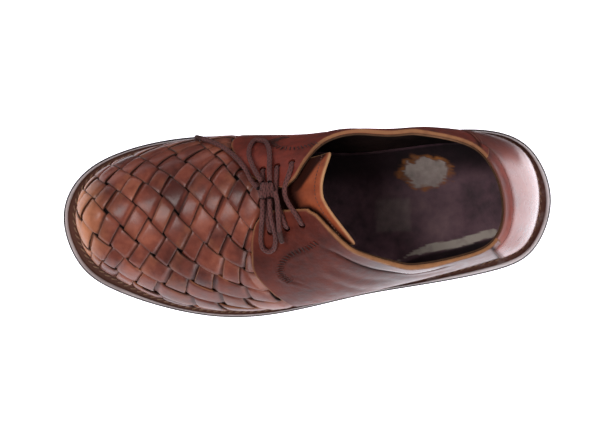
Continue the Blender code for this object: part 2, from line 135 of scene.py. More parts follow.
def srgb(red, green, blue):
    """Colour as a screen gives it (0 to 255), as the linear colour that a shader reads."""
    levels = np.array((red, green, blue)) / 255.0
    linear = np.where(levels <= 0.04045, levels / 12.92, ((levels + 0.055) / 1.055) ** 2.4)
    return (*(float(v) for v in linear), 1.0)


def new_material(name):
    material = bpy.data.materials.new(name)
    material.use_nodes = True
    tree = material.node_tree
    return material, tree, tree.nodes["Principled BSDF"]


def grid_faces(columns, rows, close_columns=False, close_rows=False):
    """Faces of a grid of points that are counted up the rows of each column."""
    i, r = np.meshgrid(
        np.arange(columns if close_columns else columns - 1),
        np.arange(rows if close_rows else rows - 1),
        indexing="ij",
    )
    j, s = (i + 1) % columns, (r + 1) % rows
    return np.stack([i * rows + r, j * rows + r, j * rows + s, i * rows + s], axis=-1).reshape(-1, 4)


# %% Floor, lamps and room
FLOOR_X = (-3.0, -0.19, 0.17, 3.0)
FLOOR_Y = (-3.0, -0.30, -0.062, 3.0)
FLOOR_CARD = 4
FLOOR_TINT = (0.94, 0.90, 1.0, 1.0)
FLOOR_GLOW = 1.45
ROOM_TINT = (1.0, 0.99, 0.98, 1.0)
ROOM_GLOW = 0.10
LAMP_AIM = (0.0, 0.0, 0.04)
LAMP_COLUMNS = ("name", "x", "y", "z", "width", "height", "power", "soft", "gloss")
LAMPS = (
    ("toe_window", 1.50, -0.10, 2.10, 1.1, 1.1, 34.0, True, True),
    ("outer_window", -0.10, 1.75, 1.50, 1.8, 0.9, 20.0, True, False),
    ("inner_window", 0.10, -1.80, 1.50, 1.4, 0.8, 11.0, True, False),
    ("heel_window", -1.50, -0.20, 1.00, 1.2, 0.9, 14.0, True, True),
    ("collar_window", -0.85, 1.80, 0.60, 1.3, 1.0, 22.0, False, True),
)


def make_floor():
    pale, tree, shader = new_material("pale_floor")
    set_inputs(tree, shader, {"Base Color": srgb(244, 243, 242), "Roughness": 0.9})
    set_inputs(tree, shader, {"Emission Color": FLOOR_TINT, "Emission Strength": FLOOR_GLOW})
    corners = [(x, y, 0.0) for x in FLOOR_X for y in FLOOR_Y]
    cells = grid_faces(len(FLOOR_X), len(FLOOR_Y)).tolist()
    card = [cells.pop(FLOOR_CARD)]
    for name, faces in (("floor", cells), ("floor_card", card)):
        mesh = bpy.data.meshes.new(name)
        mesh.from_pydata(corners, [], faces)
        mesh.materials.append(pale)
        floor = add_object(name, mesh)
        floor.visible_diffuse, floor.visible_glossy = False, name == "floor"


def make_lamps():
    for row in LAMPS:
        lamp = dict(zip(LAMP_COLUMNS, row))
        data = bpy.data.lights.new(lamp["name"], "AREA")
        data.shape = "RECTANGLE"
        data.size, data.size_y = lamp["width"], lamp["height"]
        data.energy = lamp["power"]
        light = add_object(lamp["name"], data)
        light.location = (lamp["x"], lamp["y"], lamp["z"])
        light.visible_diffuse, light.visible_glossy = lamp["soft"], lamp["gloss"]
        light.rotation_mode = "QUATERNION"
        light.rotation_quaternion = (Vector(LAMP_AIM) - light.location).to_track_quat("-Z", "Y")


def make_room():
    world = bpy.data.worlds.new("studio")
    world.use_nodes = True
    tree = world.node_tree
    set_inputs(tree, tree.nodes["Background"], {"Color": ROOM_TINT, "Strength": ROOM_GLOW})
    bpy.context.scene.world = world
    bpy.context.scene.view_settings.view_transform = "Standard"


make_floor()
make_lamps()
make_room()
print("lamps:", [row[0] for row in LAMPS])

# %% [markdown]
# ## The last
# Shoemakers draw a last with ribs: lines that climb from the edge of the sole to the crest. Each row
# below is one rib at a named station, on the outer or the inner side. Smooth curves through the rows
# give every other rib, so one short table holds the whole shape of the upper.

# %% Tables of the last
WALL = 3.0
WELT_THICK = 3.5
GAP = 0.3
STATIONS = (
    "heel_back", "heel_corner", "heel_side", "ankle", "waist", "instep",
    "throat", "ball", "joint", "toe_corner", "toe_tip",
)
RIB_COLUMNS = ("x", "y", "show", "swell", "wall", "reach", "drop")
LATERAL_RIBS = {
    "heel_back": (0.0, 0.0, 9.4, 6.0, 22.0, 14.0, 26.0),
    "heel_corner": (9.9, 26.7, 8.5, 6.0, 22.0, 13.0, 26.0),
    "heel_side": (33.3, 39.6, 8.5, 5.5, 22.0, 13.0, 26.0),
    "ankle": (76.6, 47.0, 5.5, 6.0, 22.0, 20.0, 25.0),
    "waist": (114.5, 52.5, 3.5, 9.5, 25.0, 30.0, 4.0),
    "instep": (152.0, 60.0, 4.0, 8.0, 24.0, 27.0, 0.0),
    "throat": (189.3, 63.4, 5.0, 5.0, 20.0, 31.0, 0.0),
    "ball": (227.0, 57.4, 5.0, 4.0, 18.0, 33.0, 0.0),
    "joint": (261.7, 44.5, 8.2, 4.0, 18.0, 29.0, 0.0),
    "toe_corner": (282.3, 27.5, 9.0, 4.0, 18.0, 19.0, 0.0),
    "toe_tip": (290.3, 0.0, 9.0, 4.0, 18.0, 11.0, 0.0),
}
MEDIAL_RIBS = {
    "heel_corner": (7.1, -26.3, 7.0, 6.0, 22.0, 13.0, 26.0),
    "heel_side": (26.7, -41.5, 6.0, 6.5, 22.0, 19.0, 26.0),
    "ankle": (63.6, -44.1, 4.5, 10.0, 22.0, 30.0, 28.0),
    "waist": (108.9, -38.1, 2.5, 16.0, 25.0, 50.0, 6.0),
    "instep": (148.8, -40.4, 2.5, 16.0, 26.0, 32.0, 0.0),
    "throat": (188.7, -45.0, 3.0, 11.0, 20.0, 27.0, 0.0),
    "ball": (224.8, -44.3, 4.0, 7.5, 18.0, 26.0, 0.0),
    "joint": (257.0, -37.2, 5.5, 6.0, 18.0, 22.0, 0.0),
    "toe_corner": (280.0, -23.5, 7.0, 5.0, 18.0, 16.0, 0.0),
}
CREST_COLUMNS = ("x", "y", "z", "half", "fan")
CRESTS = {
    "heel_back": (44.0, -2.0, 112.0, 0.0, -90.0),
    "heel_corner": (50.0, -2.5, 112.0, 13.0, -50.0),
    "heel_side": (66.0, -4.0, 112.0, 19.0, -12.0),
    "ankle": (91.0, -5.5, 114.0, 17.0, 0.0),
    "waist": (118.0, -7.0, 111.0, 0.0, 0.0),
    "instep": (146.0, -8.0, 95.5, 0.0, 0.0),
    "throat": (174.0, -7.0, 78.0, 0.0, 0.0),
    "ball": (202.0, -5.0, 66.0, 0.0, 2.0),
    "joint": (229.0, -2.5, 58.0, 0.0, 12.0),
    "toe_corner": (250.0, -1.0, 53.0, 0.0, 42.0),
    "toe_tip": (262.0, 0.0, 50.0, 0.0, 90.0),
}
# Collar: station, negative on the inner side, and height over the floor.
COLLAR = (
    (-6.0, 88.0), (-5.42, 86.5), (-5.2, 87.6), (-5.0, 84.2), (-4.6, 74.5), (-4.0, 70.0), (-3.0, 73.5),
    (-2.0, 76.0), (-1.0, 84.5), (0.0, 88.0), (1.0, 80.5), (2.0, 70.0), (3.0, 71.0), (3.5, 76.5),
    (4.0, 88.0), (4.5, 96.3), (4.8, 96.7), (5.0, 94.5), (5.2, 93.5), (6.0, 95.0),
)
THROAT_HALF = 6.8
# Top of the sole: x and height over the floor.
SOLE_TOP = (
    (0.0, 24.0), (40.0, 22.5), (80.0, 19.5), (120.0, 13.5), (165.0, 9.2),
    (205.0, 8.2), (240.0, 9.6), (268.0, 13.0), (290.3, 17.0),
)
ANKLE = STATIONS.index("ankle")
THROAT = STATIONS.index("throat")
TOE = len(STATIONS) - 1
LOOP = 2 * TOE
print(len(LATERAL_RIBS) + len(MEDIAL_RIBS), "ribs round the last")

# %% Curves through the rows
TINY = 1e-6


def closed_spline(rows):
    """Smooth closed curve through all rows, read at positions counted in rows."""
    count = len(rows)
    one = np.eye(count)
    spread = (4.0 * one + np.roll(one, 1, axis=0) + np.roll(one, -1, axis=0)) / 6.0
    control = np.linalg.solve(spread, rows)

    def read(position):
        position = np.asarray(position, dtype=float)
        index = np.floor(position).astype(int)
        f = (position - index)[..., None]
        weights = (
            (1.0 - f) ** 3,
            3.0 * f**3 - 6.0 * f**2 + 4.0,
            -3.0 * f**3 + 3.0 * f**2 + 3.0 * f + 1.0,
            f**3,
        )
        return sum(w * control[(index + k - 1) % count] for k, w in enumerate(weights)) / 6.0

    return read


def open_curve(places, rows):
    """Smooth open curve through rows that belong to increasing places."""
    places = np.asarray(places, dtype=float)
    rows = np.asarray(rows, dtype=float).reshape(len(places), -1)
    slopes = np.gradient(rows, places, axis=0)

    def read(place):
        place = np.clip(np.asarray(place, dtype=float), places[0], places[-1])
        index = np.clip(np.searchsorted(places, place) - 1, 0, len(places) - 2)
        width = (places[index + 1] - places[index])[..., None]
        f = (place - places[index])[..., None] / width
        start = (1.0 + 2.0 * f) * (1.0 - f) ** 2 * rows[index]
        end = f**2 * (3.0 - 2.0 * f) * rows[index + 1]
        bend = f * (1.0 - f) * ((1.0 - f) * slopes[index] - f * slopes[index + 1]) * width
        return start + end + bend

    return read


def curve_of(rows):
    """Smooth curve of one value through rows of a place and a value."""
    curve = open_curve(*zip(*rows))
    return lambda place: curve(place)[..., 0]


def smooth_step(value):
    value = np.clip(value, 0.0, 1.0)
    return value * value * (3.0 - 2.0 * value)


def fade(value, start, run):
    """Smooth rise from 0 at start to 1 one run further on; a negative run leads the other way."""
    return smooth_step((value - start) / run)


def hump(gap, height, width):
    """Soft hump of a height at gap 0, next to nothing two widths away."""
    return height * np.exp(-((gap / width) ** 2))


def unit(vectors):
    """Vectors of length 1."""
    return vectors / np.maximum(np.linalg.norm(vectors, axis=-1, keepdims=True), TINY**2)


# %% Ribs and crests as curves
def crest_loop():
    """Crest rows round the shoe, with the columns that change sign on the inner side turned."""
    rows = []
    for name in STATIONS:
        row = dict(zip(CREST_COLUMNS, CRESTS[name]))
        turn = math.radians(row["fan"])
        rows.append((row["x"], row["y"], row["z"], row["half"], math.sin(turn), math.cos(turn)))
    rows = np.array(rows)
    mirrored = rows[-2:0:-1] * np.array((1.0, 1.0, 1.0, -1.0, 1.0, -1.0))
    return closed_spline(np.concatenate([rows, mirrored]))


rib_loop = [LATERAL_RIBS[name] for name in STATIONS] + [MEDIAL_RIBS[name] for name in STATIONS[-2:0:-1]]
rib_rows = closed_spline(np.array(rib_loop))
crest_rows = crest_loop()
collar_height = curve_of(COLLAR)
sole_top = curve_of(SOLE_TOP)


def station_of(position):
    """Station counted from the heel, on either side."""
    position = np.mod(position, LOOP)
    return np.where(position <= TOE, position, LOOP - position)


def position_of(side, station):
    """Position round the shoe of a station on the outer or the inner side."""
    return station if side == "lateral" else LOOP - station


# %% Surface of the last
STEP = 1e-3
RIDGE_STEP = 0.15
UP = np.array((0.0, 0.0, 1.0))
ACROSS = np.array((0.0, 1.0, 0.0))


def sole_edge(position):
    """Point on the edge of the sole and the direction that leads away from the shoe there."""
    along = unit(rib_rows(position + STEP)[..., :2] - rib_rows(position - STEP)[..., :2])
    return rib_rows(position)[..., :2], np.stack([-along[..., 1], along[..., 0]], axis=-1)


def rib_show(position):
    """Width of the welt outside the foot of the upper."""
    return rib_rows(position)[..., RIB_COLUMNS.index("show")]


def ridge_direction(station):
    """Way in which the crest line runs towards the toe, in the upright plane."""
    middle = np.clip(station, RIDGE_STEP, TOE - RIDGE_STEP)
    run = unit(crest_rows(middle + RIDGE_STEP)[..., [0, 2]] - crest_rows(middle - RIDGE_STEP)[..., [0, 2]])
    return np.stack([run[..., 0], np.zeros_like(run[..., 0]), run[..., 1]], axis=-1)


def crest_points(position):
    values = crest_rows(position)
    crest = values[..., :3].copy()
    crest[..., 1] += values[..., 3] * (1.0 - smooth_step(station_of(position) - ANKLE))
    return crest


def surface(position, height):
    """Points of the last; height runs along the rib from 0 at its foot to 1 at the crest."""
    position = np.asarray(position, dtype=float)
    _, _, show, swell, wall, reach, drop = np.moveaxis(rib_rows(position)[..., None], -2, 0)
    edge, away = sole_edge(position)
    plan = edge - show * away
    foot = np.concatenate([plan, sole_top(plan[..., 0])[..., None] + WELT_THICK + 2 * GAP], axis=-1)
    outward = np.concatenate([away, np.zeros_like(plan[..., :1])], axis=-1)
    crest = crest_points(position)
    fan = crest_rows(position)[..., 4:6]
    leave = unit(fan[..., :1] * ridge_direction(station_of(position)) + fan[..., 1:] * ACROSS)
    lean = foot + outward * swell + UP * wall
    shoulder = crest + leave * reach - UP * drop
    t = np.asarray(height, dtype=float)[..., None]
    u = 1.0 - t
    return u**3 * foot + 3 * u**2 * t * lean + 3 * u * t**2 * shoulder + t**3 * crest


def away_from(position, height):
    """Directions that stand off the last."""
    position, height = np.broadcast_arrays(np.asarray(position, float), np.asarray(height, float))
    inside = np.clip(height, -1.0, 1.0 - STEP)
    along_rib = surface(position, inside + STEP) - surface(position, inside - STEP)
    along_shoe = surface(position + STEP, inside) - surface(position - STEP, inside)
    ridge = ridge_direction(station_of(position))
    ridge_normal = np.stack([-ridge[..., 2], ridge[..., 1], ridge[..., 0]], axis=-1)
    return np.where((height > 1.0 - TINY)[..., None], ridge_normal, unit(np.cross(along_rib, along_shoe)))


def over_last(position, height, lift):
    """Points that stand off the last by lift millimetres."""
    lift = np.asarray(lift, dtype=float)[..., None]
    return surface(position, height) + lift * away_from(position, height)


print("toe tip", np.round(surface(np.array(10.0), np.array(0.0)), 1))

# %% Top line of the upper
TOP_RIBS = 40
TOP_SAMPLES = 401
FLAP_REACH = 1.2


def top_reader(throat_end):
    """Height along the ribs at which collar or throat cuts them, to be read at any position."""
    position = np.linspace(0.0, LOOP, LOOP * TOP_RIBS, endpoint=False)
    samples = np.linspace(0.0, 1.0, TOP_SAMPLES)
    points = surface(position[:, None], samples[None, :])
    station = station_of(position)
    over = points[..., 2] - collar_height(np.where(position <= TOE, station, -station))[:, None]
    over[station > THROAT - TINY] = -1.0
    inside = THROAT_HALF - np.abs(points[..., 1] - crest_rows(position)[:, 1:2])
    inside[(station < ANKLE) | (station > throat_end)] = -1.0
    heights = np.ones(len(position))
    for index, measures in enumerate(zip(over, inside)):
        for measure in measures:
            past = np.argmax(measure > 0.0)
            if measure[past] > 0.0 and past > 0:
                share = -measure[past - 1] / (measure[past] - measure[past - 1])
                cut = samples[past - 1] + share * (samples[1] - samples[0])
                heights[index] = min(heights[index], cut)
    return lambda place: np.interp(np.mod(place, LOOP), position, heights, period=LOOP)


top_of_wall = top_reader(THROAT - TINY)
top_of_flap = top_reader(THROAT + FLAP_REACH)
print("collar at the heel", np.round(surface(np.array(0.0), top_of_wall(np.array(0.0))), 1))

# %% [markdown]
# ## Cutting patterns: a flat chart of the last
# Leather is cut flat and then pulled over the last. The same can be done with nodes: the last gets a
# flat chart as a UV map (each rib laid out straight from the crest), strips and stitches are drawn
# flat in that chart, and Sample UV Surface lifts every point to its place on the last. The third
# number of a flat point is its height over the leather. The chart is only a tool and is thrown away
# before the end.

# %% Chart and skin of the last
CHART_SIZE = 480.0
CHART_CORNER = (-90.0, -240.0)
TUCK = -0.09
SKIN_RIBS = 26
SKIN_ROWS = 78
RIB_SAMPLES = 40
PRESS_RUN = 0.16
VAMP_LAP = 0.30
VAMP_BACK = ANKLE + 1.6
VAMP_END = 5.75
THROAT_CLEAR = 0.04
# Front edge of the flaps: share of the height and station.
FLAP_FRONT = {
    "lateral": (
        (0.0, 4.86), (0.15, 5.06), (0.30, 5.28), (0.42, 5.52), (0.50, 5.70),
        (0.60, 5.90), (0.73, 6.01), (0.85, 6.05), (0.94, 5.99), (1.0, 5.80),
    ),
    "medial": (
        (0.0, 5.62), (0.20, 5.82), (0.36, 6.02), (0.50, 6.17), (0.60, 6.21),
        (0.78, 6.15), (0.92, 5.93), (0.97, 5.70), (1.0, 5.48),
    ),
}
flap_front = {side: curve_of(rows) for side, rows in FLAP_FRONT.items()}


def chart_places(position, height):
    """Places of the last in its flat chart, in millimetres."""
    position = np.asarray(position, dtype=float)
    height = np.asarray(height, dtype=float)[..., None]
    climb = height + (1.0 - height) * np.linspace(0.0, 1.0, RIB_SAMPLES)
    run = surface(position[..., None], climb)
    length = np.linalg.norm(np.diff(run, axis=-2), axis=-1).sum(axis=-1)
    return crest_points(position)[..., :2] + unit(crest_rows(position)[..., 4:6]) * length[..., None]


def flap_share(position, height):
    """Share of a place's height in the height of the quarter there."""
    return np.clip(height / top_of_flap(position), 0.0, 1.0)


def under_flap(position, height):
    """How many stations a place lies behind the front edge of the quarter flap over it."""
    share = flap_share(position, height)
    outer = np.mod(position, LOOP) <= TOE
    return np.where(outer, flap_front["lateral"](share), flap_front["medial"](share)) - station_of(position)


def add_values(mesh, name, values, kind="FLOAT"):
    layer = mesh.attributes.new(name, kind, "POINT")
    layer.data.foreach_set("vector" if kind == "FLOAT_VECTOR" else "value", np.ravel(values))


def make_skin():
    """Last with its chart, its directions and the depth to which a flap presses what is under it."""
    position = np.linspace(0.0, LOOP, LOOP * SKIN_RIBS + 1)
    places, heights = np.meshgrid(position, np.linspace(TUCK, 1.0, SKIN_ROWS), indexing="ij")
    places[-1] -= TINY
    points = surface(places, heights).reshape(-1, 3)
    faces = grid_faces(*places.shape)
    mesh = bpy.data.meshes.new("skin")
    mesh.from_pydata(to_frame(points).tolist(), [], faces.tolist())
    behind, station = under_flap(places, heights), station_of(places)
    throat = (heights > top_of_flap(places) - THROAT_CLEAR) & (station < VAMP_END)
    add_values(mesh, "away", away_from(places, heights), "FLOAT_VECTOR")
    add_values(mesh, "press", smooth_step((behind + PRESS_RUN) / PRESS_RUN))
    add_values(mesh, "vamp", (behind < VAMP_LAP) & (station > VAMP_BACK) & ~throat)
    uv = (chart_places(places, heights) - np.array(CHART_CORNER)) / CHART_SIZE
    mesh.uv_layers.new(name="chart").uv.foreach_set("vector", uv.reshape(-1, 2)[faces].ravel())
    return add_object("skin", mesh), BVHTree.FromPolygons(points.tolist(), faces.tolist())


skin, last_tree = make_skin()
print("skin faces", len(skin.data.polygons))


# %% Helpers for node trees
def compute(tree, operation, first, second=0.0):
    return add_node(tree, "ShaderNodeMath", {0: first, 1: second}, operation=operation).outputs[0]


def compute_vector(tree, operation, first, second):
    """Vector Math; SCALE takes a number as its second input."""
    inputs = {0: first, "Scale" if operation == "SCALE" else 1: second}
    return add_node(tree, "ShaderNodeVectorMath", inputs, operation=operation).outputs[0]


def stored(tree, name, kind="FLOAT"):
    return add_node(tree, "GeometryNodeInputNamedAttribute", {"Name": name}, data_type=kind).outputs[0]


def new_tree(name, inputs):
    """Geometry tree with a geometry in and out and further named inputs."""
    tree = bpy.data.node_groups.new(name, "GeometryNodeTree")
    tree.interface.new_socket("Geometry", in_out="INPUT", socket_type="NodeSocketGeometry")
    for label, kind in inputs:
        tree.interface.new_socket(label, in_out="INPUT", socket_type="NodeSocket" + kind)
    tree.interface.new_socket("Geometry", in_out="OUTPUT", socket_type="NodeSocketGeometry")
    return tree, tree.nodes.new("NodeGroupInput").outputs, tree.nodes.new("NodeGroupOutput")


# %% Nodes that lift flat work to the last
def lay_nodes(tree, given, geometry, only_vamp):
    """Adds the nodes that lift flat points of the chart to the last."""
    last = add_node(tree, "GeometryNodeObjectInfo", {"Object": given["Skin"]}).outputs["Geometry"]
    chart = stored(tree, "chart", "FLOAT_VECTOR")
    flat = add_node(tree, "GeometryNodeInputPosition").outputs[0]
    corner = [-c * MM for c in CHART_CORNER] + [0.0]
    spot = compute_vector(tree, "ADD", flat, corner)
    spot = compute_vector(tree, "SCALE", spot, 1.0 / (CHART_SIZE * MM))

    def sample(kind, value):
        inputs = {"Mesh": last, "Value": value, "UV Map": chart, "Sample UV": spot}
        return add_node(tree, "GeometryNodeSampleUVSurface", inputs, data_type=kind)

    place = sample("FLOAT_VECTOR", add_node(tree, "GeometryNodeInputPosition").outputs[0])
    away = sample("FLOAT_VECTOR", stored(tree, "away", "FLOAT_VECTOR")).outputs[0]
    height = add_node(tree, "ShaderNodeSeparateXYZ", {0: flat}).outputs["Z"]
    valid = place.outputs["Is Valid"]
    if only_vamp:
        press, vamp = (sample("FLOAT", stored(tree, name)).outputs[0] for name in ("press", "vamp"))
        depth = compute(tree, "MULTIPLY", press, given["Press Depth"])
        height = compute(tree, "SUBTRACT", height, depth)
        inside = add_node(tree, "FunctionNodeCompare", {0: vamp, 1: 0.5}, operation="GREATER_THAN").outputs[0]
        valid = add_node(tree, "FunctionNodeBooleanMath", {0: valid, 1: inside}, operation="AND").outputs[0]
    lift = compute_vector(tree, "SCALE", away, height)
    target = compute_vector(tree, "ADD", place.outputs[0], lift)
    outside = add_node(tree, "FunctionNodeBooleanMath", {0: valid}, operation="NOT").outputs[0]
    mark = add_node(tree, "GeometryNodeCaptureAttribute", {"Geometry": geometry})
    mark.capture_items.new("BOOLEAN", "Outside")
    tree.links.new(outside, mark.inputs["Outside"])
    inputs = {"Geometry": mark.outputs["Geometry"], "Position": target}
    laid = add_node(tree, "GeometryNodeSetPosition", inputs).outputs[0]
    inputs = {"Geometry": laid, "Selection": mark.outputs["Outside"]}
    return add_node(tree, "GeometryNodeDeleteGeometry", inputs, domain="POINT").outputs[0]


def close_tree(tree, given, end, geometry):
    """Ends a tree as a smooth plain mesh with its leather or thread."""
    real = add_node(tree, "GeometryNodeRealizeInstances", {"Geometry": geometry}).outputs[0]
    smooth = add_node(tree, "GeometryNodeSetShadeSmooth", {"Geometry": real}).outputs[0]
    inputs = {"Geometry": smooth, "Material": given["Material"]}
    set_inputs(tree, end, {0: add_node(tree, "GeometryNodeSetMaterial", inputs).outputs[0]})
    return tree


# %% Trees for strips and for stitches
def lasting_tree():
    inputs = (("Skin", "Object"), ("Press Depth", "Float"), ("Material", "Material"))
    tree, given, end = new_tree("pull_over_last", inputs)
    laid = lay_nodes(tree, given, given["Geometry"], only_vamp=True)
    return close_tree(tree, given, end, laid)


def sewing_tree(on_last):
    """Stitches of one size along a line: in the flat chart, or straight in space."""
    inputs = [("Skin", "Object")] if on_last else []
    inputs += [(label, "Float") for label in ("Pitch", "Length", "Thickness", "Turn", "Waver")]
    inputs += [("Seed", "Int"), ("Material", "Material")]
    tree, given, end = new_tree("sew_on_last" if on_last else "sew_on_welt", inputs)
    line = add_node(tree, "GeometryNodeMeshToCurve", {"Mesh": given["Geometry"]}).outputs[0]
    inputs = {"Curve": line, "Length": given["Pitch"]}
    points = add_node(tree, "GeometryNodeCurveToPoints", inputs, mode="LENGTH").outputs
    inputs = {"Segments": 8, "Rings": 6, "Radius": 0.5}
    thread = add_node(tree, "GeometryNodeMeshUVSphere", inputs).outputs[0]
    inputs = {0: given["Length"], 1: given["Thickness"], 2: given["Thickness"]}
    size = add_node(tree, "ShaderNodeCombineXYZ", inputs).outputs[0]
    stitch = add_node(tree, "GeometryNodeTransform", {"Geometry": thread, "Scale": size}).outputs[0]
    inputs = {"Vector": points["Tangent"]}
    along = add_node(tree, "FunctionNodeAlignRotationToVector", inputs, axis="X").outputs[0]
    low = compute(tree, "MULTIPLY", given["Waver"], -1.0)
    inputs = {2: low, 3: given["Waver"], "Seed": given["Seed"]}
    waver = add_node(tree, "FunctionNodeRandomValue", inputs, data_type="FLOAT").outputs[1]
    angle = compute(tree, "ADD", given["Turn"], waver)
    inputs = {0: along, 1: add_node(tree, "ShaderNodeCombineXYZ", {2: angle}).outputs[0]}
    turned = add_node(tree, "FunctionNodeRotateRotation", inputs, rotation_space="LOCAL").outputs[0]
    inputs = {"Points": points["Points"], "Instance": stitch, "Rotation": turned}
    result = add_node(tree, "GeometryNodeInstanceOnPoints", inputs).outputs[0]
    if on_last:
        real = add_node(tree, "GeometryNodeRealizeInstances", {"Geometry": result}).outputs[0]
        result = lay_nodes(tree, given, real, only_vamp=False)
    return close_tree(tree, given, end, result)


# %% Running a tree
def bake(piece):
    """Makes what the modifiers of a piece give its own plain mesh."""
    graph = bpy.context.evaluated_depsgraph_get()
    made = bpy.data.meshes.new_from_object(
        piece.evaluated_get(graph), preserve_all_data_layers=True, depsgraph=graph
    )
    piece.modifiers.clear()
    piece.data = made
    made.name = piece.name


def run_tree(name, mesh, tree, values):
    """Object whose mesh is what the tree makes of a start mesh."""
    piece = add_object(name, mesh)
    modifier = piece.modifiers.new("make", "NODES")
    modifier.node_group = tree
    for item in tree.interface.items_tree:
        if item.in_out == "INPUT" and item.name in values:
            modifier[item.identifier] = values[item.name]
    bake(piece)
    return piece


lasting = lasting_tree()
sewing = sewing_tree(on_last=True)
welt_sewing = sewing_tree(on_last=False)
print("trees:", lasting.name, sewing.name, welt_sewing.name)

# %% [markdown]
# ## Leather
# Polished vegetable-tanned leather is never one colour: dye lies in clouds and cut edges stay pale.
# One function makes every leather of the shoe. It reads values that the pieces carry with them: raw (a
# cut edge; on the vamp its dark colour also paints the shadow lines between strips), shade (painted
# shade in creases, grooves and dips, under flaps, beside seams and along the inner margins), tone (a
# shift of the dye: each strip's own, darker towards the insole's margins, and painted shade towards the
# vamp's inner side), worn (rubbed through to a lighter tan) and, where the polish changes over a panel,
# waxed. Grain is fine bump, gloss is a thin coat of wax.

# %% Helpers for materials
def value_of(tree, name):
    return add_node(tree, "ShaderNodeAttribute", attribute_name=name).outputs["Fac"]


def object_place(tree):
    return add_node(tree, "ShaderNodeTexCoord").outputs["Object"]


def blend(tree, factor, first, second):
    """Colour between two colours."""
    return add_node(tree, "ShaderNodeMix", {0: factor, 6: first, 7: second}, data_type="RGBA").outputs[2]


def clamp(tree, value):
    return add_node(tree, "ShaderNodeClamp", {"Value": value}).outputs[0]


def cloud(tree, place, scale, detail):
    inputs = {"Vector": place, "Scale": scale, "Detail": detail}
    return add_node(tree, "ShaderNodeTexNoise", inputs).outputs["Fac"]


def ramp(tree, level, stops):
    """Colour that changes with a level, through stops of a level and a colour."""
    node = add_node(tree, "ShaderNodeValToRGB", {"Fac": level})
    elements = node.color_ramp.elements
    for element, (position, colour) in zip(elements, (stops[0], stops[-1])):
        element.position, element.color = position, colour
    for position, colour in stops[1:-1]:
        elements.new(position).color = colour
    return node.outputs["Color"]


def bumped(tree, strength, distance, height):
    inputs = {"Strength": strength, "Distance": distance, "Height": height}
    return add_node(tree, "ShaderNodeBump", inputs).outputs[0]


# %% One leather
# Noises: scale and detail.
DYE = (34.0, 4.0)
MOTTLE = (210.0, 5.0)
FOLDS = (420.0, 6.0)
SWELLS = (95.0, 2.0)
# Scale of the pores, then shares and strengths.
PORES = 900.0
MOTTLE_SHARE = 0.35
TONE_SHARE = 0.16
DYE_LEVELS = (0.45, 0.68, 0.95)
WORN_BASE = 0.35
RAW_BASE = 0.42
# Painted shade: share of the dark dye that a fully shaded place keeps.
PAINTED_SHADE_LEVEL = 0.16
ROUGH_SPREAD = 0.35
RAW_DULL = 0.3
SHADE_DULL = 0.4
GRAIN = 0.12
GRAIN_DEPTH = 0.0006
FOLD_SHARE = 1.4
WAVES = 6.0


def leather(name, colours, roughness, coat, polish, specular):
    """Leather with clouds of dye, painted shade in dips and creases, pale cut edges, rubbed places and a fine
    grain.
    """
    dark, base, light, raw, worn = (srgb(*colour) for colour in colours)
    material, tree, shader = new_material(name)
    place = object_place(tree)
    mottle = cloud(tree, place, *MOTTLE)
    level = compute(tree, "ADD", cloud(tree, place, *DYE), compute(tree, "MULTIPLY", mottle, MOTTLE_SHARE))
    level = compute(tree, "ADD", level, compute(tree, "MULTIPLY", value_of(tree, "tone"), TONE_SHARE))
    colour = ramp(tree, level, tuple(zip(DYE_LEVELS, (dark, base, light))))
    rubbed = compute(tree, "MULTIPLY", value_of(tree, "worn"), compute(tree, "ADD", mottle, WORN_BASE))
    colour = blend(tree, rubbed, colour, worn)
    shade = clamp(tree, value_of(tree, "shade"))
    # Painted shade: the colour goes towards a dim copy of the dark dye.
    colour = blend(tree, shade, colour, tuple(PAINTED_SHADE_LEVEL * v for v in dark[:3]) + (1.0,))
    edge = compute(tree, "MULTIPLY", value_of(tree, "raw"), compute(tree, "ADD", mottle, RAW_BASE))
    edge = clamp(tree, edge)
    colour = blend(tree, edge, colour, raw)

    spread = compute(tree, "MULTIPLY", compute(tree, "SUBTRACT", mottle, 0.5), ROUGH_SPREAD)
    dull = compute(tree, "MULTIPLY", shade, SHADE_DULL)
    dull = compute(tree, "ADD", compute(tree, "MULTIPLY", edge, RAW_DULL), dull)
    rough = compute(tree, "ADD", compute(tree, "ADD", spread, roughness), dull)

    inputs = {"Vector": place, "Scale": PORES}
    pores = add_node(tree, "ShaderNodeTexVoronoi", inputs, feature="SMOOTH_F1").outputs["Distance"]
    waves = compute(tree, "MULTIPLY", cloud(tree, place, *SWELLS), WAVES)
    folds = compute(tree, "MULTIPLY", cloud(tree, place, *FOLDS), FOLD_SHARE)
    relief = compute(tree, "ADD", compute(tree, "ADD", pores, waves), folds)
    inputs = {
        "Base Color": colour, "Roughness": rough, "Normal": bumped(tree, GRAIN, GRAIN_DEPTH, relief),
        "Coat Weight": value_of(tree, "waxed") if coat is None else coat,
        "Coat Roughness": polish, "Specular IOR Level": specular,
    }
    set_inputs(tree, shader, inputs)
    return material


